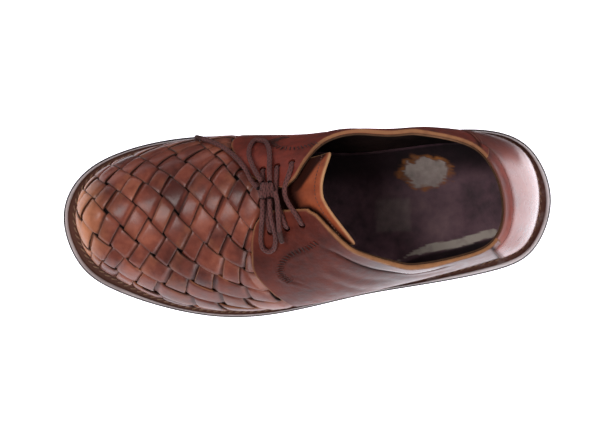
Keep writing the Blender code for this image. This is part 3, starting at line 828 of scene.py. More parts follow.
# %% All leathers
# Colours (dark, base, light, raw, worn), roughness, coat (None where waxed gives it), polish, specular.
LEATHERS = {
    # The vamp's raw colour is darker than its dye: besides the cut edges it paints the shadow lines in the
    # gaps between strips.
    "vamp": (
        ((74, 33, 27), (115, 56, 43), (154, 85, 65), (56, 33, 25), (222, 146, 102)),
        0.45, 0.28, 0.25, 0.2,
    ),
    "quarter": (
        ((54, 23, 19), (86, 36, 28), (116, 53, 40), (156, 108, 74), (150, 88, 60)),
        0.45, None, 0.16, 0.12,
    ),
    "inner_quarter": (
        ((80, 35, 29), (122, 52, 42), (150, 73, 57), (146, 100, 70), (150, 88, 60)),
        0.5, 0.05, 0.3, 0.1,
    ),
    "heel": (
        ((108, 40, 31), (146, 60, 46), (170, 84, 66), (92, 54, 40), (176, 112, 84)),
        0.3, None, 0.2, 0.3,
    ),
    "tongue": (
        ((104, 46, 30), (146, 72, 45), (174, 94, 60), (190, 142, 102), (196, 130, 86)),
        0.45, 0.0, 0.3, 0.12,
    ),
    "lining": (
        ((12, 9, 10), (24, 17, 17), (44, 31, 29), (130, 94, 70), (150, 108, 84)),
        0.7, 0.0, 0.3, 0.05,
    ),
    "insole": (
        ((52, 36, 42), (98, 69, 78), (128, 98, 102), (150, 92, 48), (172, 158, 148)),
        0.65, 0.0, 0.3, 0.3,
    ),
    "welt": (
        ((186, 172, 172), (214, 202, 204), (234, 224, 226), (92, 58, 48), (214, 200, 198)),
        0.45, 0.2, 0.3, 0.35,
    ),
}
leathers = {name: leather(f"{name}_leather", *row) for name, row in LEATHERS.items()}
print("leathers made:", [m.name for m in bpy.data.materials if m.name.endswith("leather")])

# %% [markdown]
# ## Sheets of leather
# Every panel is a sheet with two faces and a rounded, pale cut edge. Solidify could give the
# thickness, but the edge is what shows most on this shoe, so the sheet is written out: an outer grid,
# an inner grid and three rows of points round the rim between them.

# %% Sheets with rounded rims
RIM_TURNS = (math.pi / 4, math.pi / 2, 3 * math.pi / 4)
RIM_ROUND = 0.75
RIM_RAW = 0.45
BACK = [0, 3, 2, 1]


def make_mesh(name, points, faces, material, values=None, merge=0.0):
    """Plain object from points of the plan, with named values on its points."""
    mesh = bpy.data.meshes.new(name)
    mesh.from_pydata(to_frame(points).tolist(), [], faces)
    for key, value in (values or {}).items():
        add_values(mesh, key, value)
    shape = bmesh.new()
    shape.from_mesh(mesh)
    if merge:
        bmesh.ops.remove_doubles(shape, verts=shape.verts, dist=merge * MM)
    bmesh.ops.recalc_face_normals(shape, faces=shape.faces)
    shape.to_mesh(mesh)
    shape.free()
    mesh.shade_smooth()
    mesh.materials.append(material)
    return add_object(name, mesh)


def rim_places(columns, rows):
    """Columns and rows of the places once round the border of a grid."""
    right, up = np.arange(columns), np.arange(rows)
    i = [right, np.full(rows - 1, columns - 1), right[-2::-1], np.zeros(rows - 2, dtype=int)]
    r = [np.zeros(columns, dtype=int), up[1:], np.full(columns - 1, rows - 1), up[-2:0:-1]]
    return np.concatenate(i), np.concatenate(r)


def sheet(name, outer, inner, material, values):
    """Closed sheet between two grids; values belong to the outer one, and with its own raw no rim is pale."""
    columns, rows = outer.shape[:2]
    under = columns * rows
    cells = grid_faces(columns, rows)
    faces = np.stack([cells, under + cells[:, BACK]], axis=1).reshape(-1, 4).tolist()
    i, r = rim_places(columns, rows)
    rim, count = i * rows + r, len(i)
    away = unit(outer[i, r] - outer[np.clip(i, 1, columns - 2), np.clip(r, 1, rows - 2)])
    middle, half = (outer[i, r] + inner[i, r]) / 2, (outer[i, r] - inner[i, r]) / 2
    reach = RIM_ROUND * np.linalg.norm(half, axis=1, keepdims=True)
    bends = [middle + half * math.cos(turn) + away * reach * math.sin(turn) for turn in RIM_TURNS]
    chain = [rim, *(2 * under + count * k + np.arange(count) for k in range(len(bends))), under + rim]
    for low, high in zip(chain[:-1], chain[1:]):
        faces += np.stack([low, np.roll(low, -1), np.roll(high, -1), high], axis=1).tolist()
    points = np.concatenate([outer.reshape(-1, 3), inner.reshape(-1, 3), *bends])
    named = {key: np.zeros(len(points)) for key in ("raw", *values)}
    if "raw" not in values:
        named["raw"][rim] = RIM_RAW
        named["raw"][2 * under :] = 1.0
    for key, value in values.items():
        named[key][:under] = np.broadcast_to(value, (columns, rows)).ravel()
    return make_mesh(name, points, faces, material, named)


print("rows of points round a rim:", len(RIM_TURNS))

# %% [markdown]
# ## Lining
# Inside is a dark leather lining, one sheet that goes right round the foot and up to the collar. It
# is also what shows as black between the strips of the vamp. It is drawn like the solid it replaces,
# ribs round the last, only finer and thinner.

# %% Lining of the whole upper
LINING_OUTSIDE = -1.9
LINING_RIBS = 18
LINING_ROWS = 40
LINING_RAW = 0.3
LINING_MERGE = 0.02
# Rubbed place at the inner collar: station, strength and width, and where it starts on the way up.
RUBBED_STATION = 2.6
RUBBED = (0.7, 0.6)
RUBBED_CLIMB = (0.75, 0.25)


def make_lining():
    position = np.linspace(0.0, LOOP, LOOP * LINING_RIBS, endpoint=False)
    heights = top_of_wall(position)[:, None] * np.linspace(0.0, 1.0, LINING_ROWS)
    points = [over_last(position[:, None], heights, depth) for depth in (LINING_OUTSIDE, -WALL)]
    count = len(position)
    under = count * LINING_ROWS
    shut = station_of(position) > THROAT - TINY
    cells = grid_faces(count, LINING_ROWS, close_columns=True)
    low = np.arange(count) * LINING_ROWS
    top = low + LINING_ROWS - 1
    foot = np.stack([low, under + low, np.roll(under + low, -1), np.roll(low, -1)], axis=1)
    rim = np.stack([top, np.roll(top, -1), np.roll(under + top, -1), under + top], axis=1)
    rim = rim[~(shut & np.roll(shut, -1))]
    faces = np.concatenate([cells, under + cells[:, BACK], foot, rim]).tolist()
    raw = np.zeros((2, count, LINING_ROWS))
    raw[:, ~shut, -1] = LINING_RAW
    near = hump(station_of(position) - RUBBED_STATION, *RUBBED) * (position > TOE)
    worn = near[:, None] * fade(np.linspace(0.0, 1.0, LINING_ROWS), *RUBBED_CLIMB)
    values = {"raw": raw, "worn": np.broadcast_to(worn, raw.shape)}
    points = np.reshape(points, (-1, 3))
    return make_mesh("lining", points, faces, leathers["lining"], values, LINING_MERGE)


lining = make_lining()
print("lining faces", len(lining.data.polygons))

# %% [markdown]
# ## Woven vamp
# The vamp is plain weave of leather strips: broad ones run from the inner toe towards the outer ball,
# narrower ones cross them, and each goes over one and under the next. A net of crossings, charted and
# smoothed to one curved rule, says where row and column meet in the flat chart. Each strip is
# a flat band with a crowned top and cut edges that rises and dips with the weave; the node tree
# then pulls the whole weave over the last and presses it down under the quarter flaps.

# %% Net of the weave
WEAVE_MIDDLE = 4.0
WEAVE_NET = {
    "middle": (220.1, 10.0),
    "column": (-10.19, 10.10),
    "column_bend": (-0.60, 0.07),
    "row": (-4.85, -14.23),
    "row_bend": (-1.08, 0.27),
    "twist": (2.14, -0.19),
}


def net_place(row, column):
    """Place in the chart of a row and a column of the weave, which need not be whole."""
    r, c = row - WEAVE_MIDDLE, column - WEAVE_MIDDLE
    shares = {
        "middle": np.ones_like(r), "column": c, "column_bend": c * c,
        "row": r, "row_bend": r * r, "twist": r * c,
    }
    return sum(shares[key][..., None] * np.array(WEAVE_NET[key]) for key in WEAVE_NET)


# %% One strip
WEAVE_RISE = 0.85
WEAVE_LEVEL = -1.15
PILLOW = 0.34
# Section of a strip: share of its half width, rise over its middle, raw (cut edge, and on the side walls
# painted shadow in the gaps).
STRIP_SECTION = np.array(
    (
        (-1.0, -0.30, 1.0), (-1.0, 0.30, 1.0), (-0.965, 0.62, 0.9), (-0.89, 0.82, 0.2),
        (-0.6, 0.93, 0.0), (0.0, 1.0, 0.0), (0.6, 0.93, 0.0), (0.89, 0.82, 0.2),
        (0.965, 0.62, 0.9), (1.0, 0.30, 1.0), (1.0, -0.30, 1.0), (0.9, -0.7, 0.6), (-0.9, -0.7, 0.6),
    )
)
# Waves along a strip: height and rate.
STRIP_SWAYS = ((0.035, 0.9), (0.02, 2.3))
STRIP_BREADTH = (0.05, 1.3)
STRIP_TILT = (0.28, 1.7)
PALE_BREAKS = (1.0, 2.1)
SCUFF_WAVES = ((1.0, 3.1), (1.0, 1.7))
# Spreads of the random draws.
BREADTH_SPREAD = 0.02
DYE_SPREAD = 0.28
STRIP_DYE_SPREAD = 0.15
DYE_DRAWS = 60
# Fades: start and run.
DIPS = (0.1, -0.9)
TOE_WORN = (258.0, 34.0)
PALE_SIDE = (22.0, 12.0)
INNER_SHADE_SIDE = (-5.0, -25.0)
SCUFFS = (0.7, 0.8)
# Strengths and limits.
DIP_SHADE = 0.6
PALE_EDGE = 0.5
PALE_LIMIT = 0.1
CUT_EDGE = 0.95
# Painted shade: strips grow darker towards the inner side.
INNER_SHADE_TONE = -0.1
SCUFF = 0.17
SCUFF_MIDDLE = 0.25


def waver(along, height, rate, phase):
    return height * np.sin(rate * along + phase)


def strip_points(draw, strip, along, half, broad):
    """Flat points of one strip with its own small faults, and the values that its leather reads."""
    across, rise, raw = STRIP_SECTION.T
    phase = draw.uniform(0.0, 2.0 * math.pi, 3)
    sway = sum(waver(along, *wave, start) for wave, start in zip(STRIP_SWAYS, phase))
    breadth = half * (1.0 + waver(along, *STRIP_BREADTH, phase[2]) + draw.normal(0.0, BREADTH_SPREAD))
    wave = np.cos(math.pi * (strip + along)) * (1.0 if broad else -1.0)
    level = np.sign(wave) * np.abs(wave) ** PILLOW
    tilt = waver(along, *STRIP_TILT, phase[1])
    own = strip + sway[:, None] + breadth[:, None] * across
    other = np.broadcast_to(along[:, None], own.shape)
    place = net_place(own, other) if broad else net_place(other, own)
    x, y = np.moveaxis(place, -1, 0)
    height = WEAVE_LEVEL + WEAVE_RISE * level[:, None] + rise + tilt[:, None] * across
    dyes = draw.normal(0.0, DYE_SPREAD, DYE_DRAWS)
    dye = dyes[np.round(along).astype(int) % DYE_DRAWS] + draw.normal(0.0, STRIP_DYE_SPREAD)
    pale = PALE_EDGE * fade(y, *PALE_SIDE) * (np.abs(across) > CUT_EDGE)
    pale = pale * (waver(along, *PALE_BREAKS, phase[0]) > PALE_LIMIT)[:, None]
    scuff = sum(waver(along, *wave, start) for wave, start in zip(SCUFF_WAVES, phase[[2, 0]]))
    scuff = SCUFF * fade(scuff, *SCUFFS)[:, None] * (SCUFF_MIDDLE + (1.0 - SCUFF_MIDDLE) * across**2)
    values = {
        "raw": raw * (1.0 - pale),
        "shade": np.broadcast_to(DIP_SHADE * fade(level, *DIPS)[:, None], own.shape),
        # tone: the strip's own dye, with painted shade towards the inner side
        "tone": dye[:, None] + INNER_SHADE_TONE * fade(y, *INNER_SHADE_SIDE),
        "worn": np.maximum(np.maximum(fade(x, *TOE_WORN), pale), scuff),
    }
    return np.stack([x, y, height], axis=-1), values


# %% All strips, pulled over the last
WEAVE_ROWS = range(-4, 13)
WEAVE_COLUMNS = range(-7, 15)
WEAVE_STEPS = 12
FLAP_PRESS = 2.4
# Strips, strips that they cross, half width, broad or not, seed.
WEAVES = {
    "vamp_broad_strips": (WEAVE_ROWS, WEAVE_COLUMNS, 0.485, True, 11),
    "vamp_narrow_strips": (WEAVE_COLUMNS, WEAVE_ROWS, 0.365, False, 23),
}


def flat_weave(name, strips, crossed, half, broad, seed):
    """All strips of one direction, flat in the chart, as tubes of their section."""
    draw = np.random.default_rng(seed)
    along = np.linspace(crossed[0], crossed[-1], (len(crossed) - 1) * WEAVE_STEPS + 1)
    made = [strip_points(draw, strip, along, half, broad) for strip in strips]
    points = np.array([points for points, _ in made])
    count, length, sides = points.shape[:3]
    faces = grid_faces(length, sides, close_rows=True)[:, BACK]
    faces = (faces + np.arange(count)[:, None, None] * length * sides).reshape(-1, 4)
    mesh = bpy.data.meshes.new(name)
    mesh.from_pydata((points.reshape(-1, 3) * MM).tolist(), [], faces.tolist())
    for key in ("raw", "shade", "tone", "worn"):
        add_values(mesh, key, [values[key] for _, values in made])
    return mesh


def make_weave():
    values = {"Skin": skin, "Press Depth": FLAP_PRESS * MM, "Material": leathers["vamp"]}
    return [run_tree(name, flat_weave(name, *row), lasting, values) for name, row in WEAVES.items()]


weave = make_weave()
print("weave:", {piece.name: len(piece.data.polygons) for piece in weave})

# %% [markdown]
# ## Quarters
# The two quarters are smooth panels that meet the heel panel at the back and end in rounded flaps
# over the vamp in front. A curved inner panel is sewn into each with short whip stitches that pucker
# the leather, and a groove runs from it along the collar. Such marks could be bump only, but they are
# millimetres deep on the real shoe, so they are pressed into the mesh: soft troughs and ridges along
# lines that are given as stations and heights on the last.

# %% Lines of seams and creases
SEAM_SAMPLES = 240
# Lines on the last: station and height.
PANEL_SEAM = {
    "lateral": (
        (4.80, 0.715), (5.0, 0.675), (5.17, 0.66), (5.33, 0.63), (5.43, 0.565), (5.38, 0.51),
        (5.27, 0.47), (5.02, 0.43), (4.75, 0.36), (4.5, 0.25), (4.35, 0.10),
    ),
    "medial": (
        (4.75, 0.60), (5.0, 0.60), (5.2, 0.59), (5.38, 0.565), (5.5, 0.51), (5.46, 0.45),
        (5.32, 0.41), (5.05, 0.37), (4.75, 0.30), (4.5, 0.20), (4.35, 0.08),
    ),
}
COLLAR_GROOVE = {
    "lateral": (
        (4.80, 0.715), (4.68, 0.69), (4.4, 0.645), (4.15, 0.59), (3.62, 0.475), (3.03, 0.44), (2.3, 0.46),
    ),
    "medial": ((4.75, 0.60), (4.5, 0.55), (4.15, 0.49), (3.62, 0.46), (3.03, 0.46), (2.6, 0.48)),
}
# Creases: line, width and depth.
CREASES = {
    "lateral": (
        (((4.62, 0.58), (4.3, 0.50), (3.9, 0.40), (3.5, 0.33)), 5.0, 0.5),
        (((4.75, 0.50), (4.4, 0.41), (4.05, 0.29), (3.8, 0.2)), 5.0, 0.4),
        (((3.4, 0.42), (2.9, 0.36), (2.4, 0.34)), 6.0, 0.4),
    ),
    "medial": (
        (((4.6, 0.52), (4.2, 0.43), (3.8, 0.36), (3.3, 0.33)), 6.0, 0.9),
        (((4.7, 0.40), (4.3, 0.30), (3.9, 0.22)), 5.0, 0.6),
    ),
}


def runs_along(points):
    """How far along a line of points each point lies."""
    return np.concatenate([[0.0], np.cumsum(np.linalg.norm(np.diff(points, axis=0), axis=1))])


def seam_places(side, rows):
    """Positions and heights along a smooth line through rows of a seam."""
    rows = np.array(rows, dtype=float)
    runs = runs_along(surface(position_of(side, rows[:, 0]), rows[:, 1]))
    line = open_curve(runs, rows)(np.linspace(0.0, runs[-1], SEAM_SAMPLES))
    return position_of(side, line[:, 0]), line[:, 1]


def nearest(points, line):
    """Distance from points to a line, how far along it their nearest place lies, and rise over it."""
    flat = points.reshape(-1, 3)
    gaps = (flat**2).sum(1)[:, None] + (line**2).sum(1)[None, :] - 2.0 * flat @ line.T
    index = gaps.argmin(axis=1)
    gap = np.sqrt(np.maximum(gaps[np.arange(len(flat)), index], 0.0))
    rise = flat[:, 2] - line[index, 2]
    return tuple(found.reshape(points.shape[:-1]) for found in (gap, runs_along(line)[index], rise))


print("creases:", {side: len(rows) for side, rows in CREASES.items()})

# %% Relief of a quarter
WHIP_PITCH = 2.0
SEAM_DEPTH = {"lateral": 1.0, "medial": 0.35}
SEAM_PLAIN = 0.9
COLLAR_ROLL = 0.9
# Fades along a seam: start and run, in millimetres, for the seam's end in shares of the seam.
SEAM_START = (0.0, 9.0)
SEAM_END = (0.42, 0.25)
GROOVE_START = (0.0, 18.0)
GROOVE_END = (0.0, 20.0)
POLISH_START = (0.0, 52.0)
# Humps and shades across a seam: height and width.
SEAM_SHOULDER = (0.25, 1.5)
SHOULDER_PLACE = 2.6
SEAM_TROUGH = (0.3, 0.9)
SEAM_PUCKER = (0.32, 2.6)
SEAM_LINE = (0.2, 0.8)
SEAM_HALO = (0.12, 4.0)
GROOVE_TROUGH = (0.6, 1.0)
GROOVE_LINE = (0.9, 0.75)
GROOVE_HALO = (0.2, 3.0)
ROLL_EDGE = (1.0, 2.4)
# Creases: share of the ridges beside them, then shade and its share of the width.
CREASE_RIDGE = 0.6
CREASE_SHADE = 0.14
CREASE_LINE = 0.6


def quarter_relief(side, points):
    """Lift and shade that seams and creases give to places of a quarter, and its roll at the collar."""
    gap, run, _ = nearest(points, surface(*seam_places(side, PANEL_SEAM[side])))
    deep = SEAM_DEPTH[side] * (1.0 - SEAM_PLAIN * fade(run / run.max(), *SEAM_END)) * fade(run, *SEAM_START)
    lift = deep * (hump(gap - SHOULDER_PLACE, *SEAM_SHOULDER) - hump(gap, *SEAM_TROUGH))
    lift += deep * np.cos(2.0 * math.pi * run / WHIP_PITCH) * hump(gap, *SEAM_PUCKER)
    shade = deep * (hump(gap, *SEAM_LINE) + hump(gap, *SEAM_HALO))
    groove = surface(*seam_places(side, COLLAR_GROOVE[side]))
    gap, run, over = nearest(points, groove)
    behind = groove[0, 0] - points[..., 0]
    deep = SEAM_DEPTH[side] * fade(behind, *GROOVE_START) * fade(run.max() - run, *GROOVE_END)
    roll = deep * (1.0 - hump(gap, *ROLL_EDGE)) * (over > 0.0)
    lift += COLLAR_ROLL * roll - deep * hump(gap, *GROOVE_TROUGH)
    shade += deep * (hump(gap, *GROOVE_LINE) + hump(gap, *GROOVE_HALO) * (over < 0.0))
    for rows, width, depth in CREASES[side]:
        gap, run, _ = nearest(points, surface(*seam_places(side, rows)))
        deep = np.sin(math.pi * np.clip(run / run.max(), 0.0, 1.0)) ** 0.5
        lift += depth * deep * (hump(gap - width, CREASE_RIDGE, width) - hump(gap, 1.0, width))
        shade += deep * hump(gap, CREASE_SHADE, CREASE_LINE * width)
    return lift, shade, roll * fade(behind, *POLISH_START)


# %% Quarter panels
QUARTER_OUTSIDE = 0.45
QUARTER_INSIDE = -1.8
PANEL_TUCK = -0.05
QUARTER_COLUMNS = 170
QUARTER_ROWS = 84
HEEL_LAP = 0.3
# Shade along the edge of the heel panel: height and width in stations.
HEEL_LAP_SHADE = (0.9, 0.07)
# Wax on the back of the quarter: strength, then start and run in stations.
WAX = 0.3
WAX_BACK = (4.7, -1.8)
ROLL_WAX = 0.9
QUARTER_DYE = {"lateral": "quarter", "medial": "inner_quarter"}
# Seams of the heel panel: share of the height and station.
HEEL_SEAM = {
    "lateral": ((0.0, 1.95), (0.6, 1.70), (1.0, 1.42)),
    "medial": ((0.0, 2.75), (0.63, 2.42), (1.0, 1.72)),
}
heel_seam = {side: curve_of(rows) for side, rows in HEEL_SEAM.items()}


def panel_places(start, end, columns, rows):
    """Grid of positions and heights between two edges that are read by the share of the height."""
    climb = np.linspace(0.0, 1.0, rows)
    share = np.clip(climb * (1.0 - PANEL_TUCK) + PANEL_TUCK, 0.0, 1.0)
    first, last = start(share), end(share)
    position = first + (last - first) * np.linspace(0.0, 1.0, columns)[:, None]
    return position, PANEL_TUCK + (top_of_flap(position) - PANEL_TUCK) * climb


def make_quarter(side):
    position, height = panel_places(
        lambda share: position_of(side, heel_seam[side](share) - HEEL_LAP),
        lambda share: position_of(side, flap_front[side](share)),
        QUARTER_COLUMNS,
        QUARTER_ROWS,
    )
    station = station_of(position)
    lift, shade, roll = quarter_relief(side, surface(position, height))
    shade += hump(station - heel_seam[side](flap_share(position, height)), *HEEL_LAP_SHADE)
    waxed = np.maximum(WAX * fade(station, *WAX_BACK), ROLL_WAX * roll)
    waxed = waxed * (1.0 - np.clip(shade, 0.0, 1.0))
    outer = over_last(position, height, QUARTER_OUTSIDE + lift)
    inner = over_last(position, height, QUARTER_INSIDE)
    dye = leathers[QUARTER_DYE[side]]
    return sheet(f"quarter_{side}", outer, inner, dye, {"shade": shade, "waxed": waxed})


quarters = {side: make_quarter(side) for side in ("lateral", "medial")}
print("quarters:", {side: len(piece.data.polygons) for side, piece in quarters.items()})

# %% [markdown]
# ## Eyelets
# The eyelets are plain punched holes, three a side, with no metal. A punch is a Boolean: one cutter
# of three pins for each flap, standing square on the leather.

# %% Punched eyelets
# Bars of the lace: x and y of the outer hole, x and y of the inner hole.
LACE_BARS = (
    (167.0, 11.2, 170.4, -25.0),
    (157.6, 9.2, 162.0, -26.7),
    (148.6, 7.4, 153.2, -28.8),
)
HOLE_RADIUS = 2.2
HOLE_SIDES = 20
PUNCH_REACH = 5.0
SKY = 200.0


def over_upper(x, y, lift):
    """Point that stands off the last by lift over a place of the plan, and the direction there."""
    hit, normal, _, _ = last_tree.ray_cast(Vector((x, y, SKY)), Vector(-UP))
    normal = normal if normal.z > 0.0 else -normal
    return np.array(hit + normal * lift), np.array(normal)


def punch(piece, places):
    shape = bmesh.new()
    for x, y in places:
        centre, normal = over_upper(x, y, 0.0)
        turn = Vector(UP).rotation_difference(Vector(normal)).to_matrix().to_4x4()
        bmesh.ops.create_cone(
            shape, cap_ends=True, segments=HOLE_SIDES, radius1=HOLE_RADIUS * MM, radius2=HOLE_RADIUS * MM,
            depth=2 * PUNCH_REACH * MM, matrix=Matrix.Translation(Vector(to_frame(centre))) @ turn,
        )
    mesh = bpy.data.meshes.new("punch")
    shape.to_mesh(mesh)
    shape.free()
    pins = add_object("punch", mesh)
    modifier = piece.modifiers.new("punch", "BOOLEAN")
    modifier.object, modifier.operation, modifier.solver = pins, "DIFFERENCE", "EXACT"
    bake(piece)
    bpy.data.objects.remove(pins)


punch(quarters["lateral"], [row[:2] for row in LACE_BARS])
punch(quarters["medial"], [row[2:] for row in LACE_BARS])
print("quarters with eyelets:", {side: len(piece.data.polygons) for side, piece in quarters.items()})

# %% [markdown]
# ## Heel panel
# A panel of redder, well polished leather wraps the heel and laps over both quarters. A groove runs
# under its collar edge, where the lining is turned and sewn, with painted shade in and above it, and a
# painted shadow lies along its outer seam. Its inner end stood in the other shoe's shade: it is painted
# darker there, and its polish fades.

# %% Heel panel
HEEL_OUTSIDE = 1.0
HEEL_COLUMNS = 130
HEEL_ROWS = 70
HEEL_CLIMB = 62.0
HEEL_GROOVE_SHARE = 0.90
# Humps and shades: height and width.
HEEL_SWELL = (0.5, 0.3)
HEEL_SWELL_SHARE = 0.55
HEEL_SWELL_ROUND = 0.9
HEEL_GROOVE = (0.12, 1.8)
HEEL_GROOVE_SHADE = (0.08, 1.0)
HEEL_SEAM_SHADE = (0.9, 0.08)
HEEL_SEAM_DULL = (1.0, 0.1)
# Strength, start and run, in millimetres over the groove or in stations from the back of the heel.
HEEL_ROLL = (1.6, -1.5, 6.0)
ROLL_SHADE = (0.3, 0.0, 4.0)
INNER_SHADE = (0.7, 0.9, 0.8)
INNER_DULL = (0.9, 0.7, 0.8)
OUTER_DULL = (0.8, 0.4, 0.8)
ROLL_DULL = (0.95, -3.0, 5.0)


def rise(value, strength, start, run):
    return strength * fade(value, start, run)


def make_heel_panel():
    position, height = panel_places(
        lambda share: -heel_seam["medial"](share), heel_seam["lateral"], HEEL_COLUMNS, HEEL_ROWS
    )
    share = height / top_of_flap(position)
    gap = (share - HEEL_GROOVE_SHARE) * HEEL_CLIMB
    seam = heel_seam["lateral"](np.clip(share, 0.0, 1.0)) - position
    swell = hump(share - HEEL_SWELL_SHARE, *HEEL_SWELL) * np.cos(HEEL_SWELL_ROUND * position)
    lift = HEEL_OUTSIDE + swell - hump(gap, *HEEL_GROOVE) - rise(gap, *HEEL_ROLL)
    shade = hump(gap, *HEEL_GROOVE_SHADE) + rise(gap, *ROLL_SHADE)
    shade += rise(-position, *INNER_SHADE) + hump(seam, *HEEL_SEAM_SHADE)
    waxed = 1.0 - rise(-position, *INNER_DULL) - rise(position, *OUTER_DULL)
    waxed = waxed * (1.0 - rise(gap, *ROLL_DULL)) * (1.0 - hump(seam, *HEEL_SEAM_DULL))
    outer = over_last(position, height, lift)
    inner = over_last(position, height, QUARTER_INSIDE)
    return sheet("heel_panel", outer, inner, leathers["heel"], {"shade": shade, "waxed": waxed})


heel_panel = make_heel_panel()
print("heel panel faces", len(heel_panel.data.polygons))

# %% [markdown]
# ## Stitches
# Thread is what Geometry Nodes do best: a line in the flat chart, points at one pitch along it, one
# small stitch on each, turned with the line, and all of it laid on the last like the strips. The
# whip stitches lie across their seam, the others along it.

# %% Sewing the upper
# Noise: scale and detail.
FIBRES = (900.0, 3.0)
# Stitches: millimetres, degrees for the turn, radians for the waver.
STITCH_COLUMNS = ("pitch", "length", "thickness", "turn", "waver", "seed")
STITCHES = {
    "whip": (WHIP_PITCH, 4.8, 0.5, 90.0, 0.12, 5),
    "heel": (2.4, 1.9, 0.5, 0.0, 0.05, 5),
    "tongue": (2.6, 2.0, 0.5, 0.0, 0.05, 5),
    "welt": (4.3, 4.2, 1.2, 22.0, 0.1, 3),
}
WHIP_LIFT = 0.75
WHIP_SHARE = 0.5
HEEL_STITCH_LIFT = 1.0
HEEL_STITCH_INSET = 0.09
HEEL_STITCH_SHARES = (0.06, 0.93)
COLLAR_STITCH_LIFT = 0.7
COLLAR_STITCH_ENDS = (-1.72, 1.50)


def mottled(name, fibres, first, second, numbers):
    """Plain material between two colours, with the numbers that are the same all over."""
    material, tree, shader = new_material(name)
    colour = blend(tree, cloud(tree, object_place(tree), *fibres), first, second)
    set_inputs(tree, shader, {"Base Color": colour, **numbers})
    return material


def thread_material(name, dark, colour):
    return mottled(name, FIBRES, dark, colour, {"Roughness": 0.75})


brown_thread = thread_material("brown_thread", srgb(58, 32, 27), srgb(120, 72, 56))
dark_thread = thread_material("dark_thread", srgb(30, 16, 15), srgb(58, 30, 26))
tan_thread = thread_material("tan_thread", srgb(84, 58, 46), srgb(150, 112, 86))


def sew(name, line, tree, kind, thread):
    """Row of stitches along a mesh of edges."""
    stitch = dict(zip(STITCH_COLUMNS, STITCHES[kind]))
    values = {label.title(): stitch[label] * MM for label in ("pitch", "length", "thickness")}
    values |= {"Turn": math.radians(stitch["turn"]), "Waver": stitch["waver"], "Seed": stitch["seed"]}
    return run_tree(name, line, tree, {**values, "Skin": skin, "Material": thread})


def sew_upper(name, position, height, lift, kind, thread):
    """Stitches along a line on the last, drawn in the flat chart."""
    chart = chart_places(position, height)
    points = np.concatenate([chart, np.full((len(chart), 1), lift)], axis=1) * MM
    line = bpy.data.meshes.new(name)
    line.from_pydata(points.tolist(), [(k, k + 1) for k in range(len(points) - 1)], [])
    return sew(name, line, sewing, kind, thread)


def heel_side_places(side):
    share = np.linspace(*HEEL_STITCH_SHARES, SEAM_SAMPLES)
    station = heel_seam[side](share) - HEEL_STITCH_INSET
    position = station if side == "lateral" else -station
    return position, share * top_of_flap(position)


stitches = []
for side in ("lateral", "medial"):
    places = [line[: int(WHIP_SHARE * SEAM_SAMPLES)] for line in seam_places(side, PANEL_SEAM[side])]
    stitches.append(sew_upper(f"whip_stitches_{side}", *places, WHIP_LIFT, "whip", dark_thread))
    places = heel_side_places(side)
    stitches.append(sew_upper(f"heel_stitches_{side}", *places, HEEL_STITCH_LIFT, "heel", brown_thread))
position = np.linspace(*COLLAR_STITCH_ENDS, SEAM_SAMPLES)
places = (position, HEEL_GROOVE_SHARE * top_of_flap(position))
stitches.append(sew_upper("heel_collar_stitches", *places, COLLAR_STITCH_LIFT, "heel", brown_thread))
print("stitches:", {piece.name: len(piece.data.polygons) for piece in stitches})

# %% [markdown]
# ## Tongue
# The tongue is a softer tan leather that lies under both flaps and ends in a curved top edge. It is a
# sheet at one depth under the last's outside, from its front end below the vamp to that edge. Deep
# under the flaps and towards its front it is painted almost black as shade: a wide band on the inner
# side, a narrow one on the outer.

# %% Tongue
# Top edge: place across, from the inner to the outer side, and station.
TONGUE_TOP = ((-1.0, 4.58), (0.0, 4.76), (1.0, 4.08))
TONGUE_FRONT = 6.3
TONGUE_WRAP = 0.67
TONGUE_OUTSIDE = -3.9
TONGUE_INSIDE = -6.1
TONGUE_RIB = 70.0
TONGUE_RIPPLE = 0.25
RIPPLE_RATES = (7.0, 9.0)
RIPPLE_START = (0.0, 1.0 / 6.0)
TONGUE_COLUMNS = 81
TONGUE_ROWS = 60
TONGUE_SEAM_ENDS = (-0.94, 0.94)
TONGUE_SEAM_SHARE = 0.075
TONGUE_SEAM_LIFT = 0.1
GLOOM_WIDE = 10.0
GLOOM_NARROW = 1.6
GLOOM_TAPER = 0.9
GLOOM_EDGE = 3.0
GLOOM_TOP = (-0.05, 0.1)
GLOOM_FRONT = (0.22, 0.14)
tongue_edge = curve_of(TONGUE_TOP)


def tongue_places(across, share):
    """Positions and heights on the tongue; across runs from the inner to the outer side."""
    top = tongue_edge(across)
    station = top + (TONGUE_FRONT - top) * share
    position = np.where(across >= 0.0, station, LOOP - station)
    return position, 1.0 - np.abs(across) * (1.0 - TONGUE_WRAP)


def make_tongue():
    across, share = np.meshgrid(
        np.linspace(-1.0, 1.0, TONGUE_COLUMNS), np.linspace(0.0, 1.0, TONGUE_ROWS), indexing="ij"
    )
    position, height = tongue_places(across, share)
    ripple = TONGUE_RIPPLE * np.sin(RIPPLE_RATES[0] * across + RIPPLE_RATES[1] * share)
    ripple = ripple * fade(share, *RIPPLE_START)
    # Painted shade on the tongue: near black under the flaps' edges, wide on the inner side, and towards the
    # front under the lace.
    clear = (height - top_of_flap(position)) * TONGUE_RIB
    wide = GLOOM_WIDE * (1.0 - GLOOM_TAPER * share) * fade(share, *GLOOM_TOP)
    reach = np.where(across < 0.0, wide, GLOOM_NARROW) + GLOOM_EDGE / 2
    shade = np.maximum(fade(clear, reach, -GLOOM_EDGE), fade(share, *GLOOM_FRONT))
    outer = over_last(position, height, TONGUE_OUTSIDE + ripple)
    inner = over_last(position, height, TONGUE_INSIDE)
    return sheet("tongue_sheet", outer, inner, leathers["tongue"], {"shade": shade})


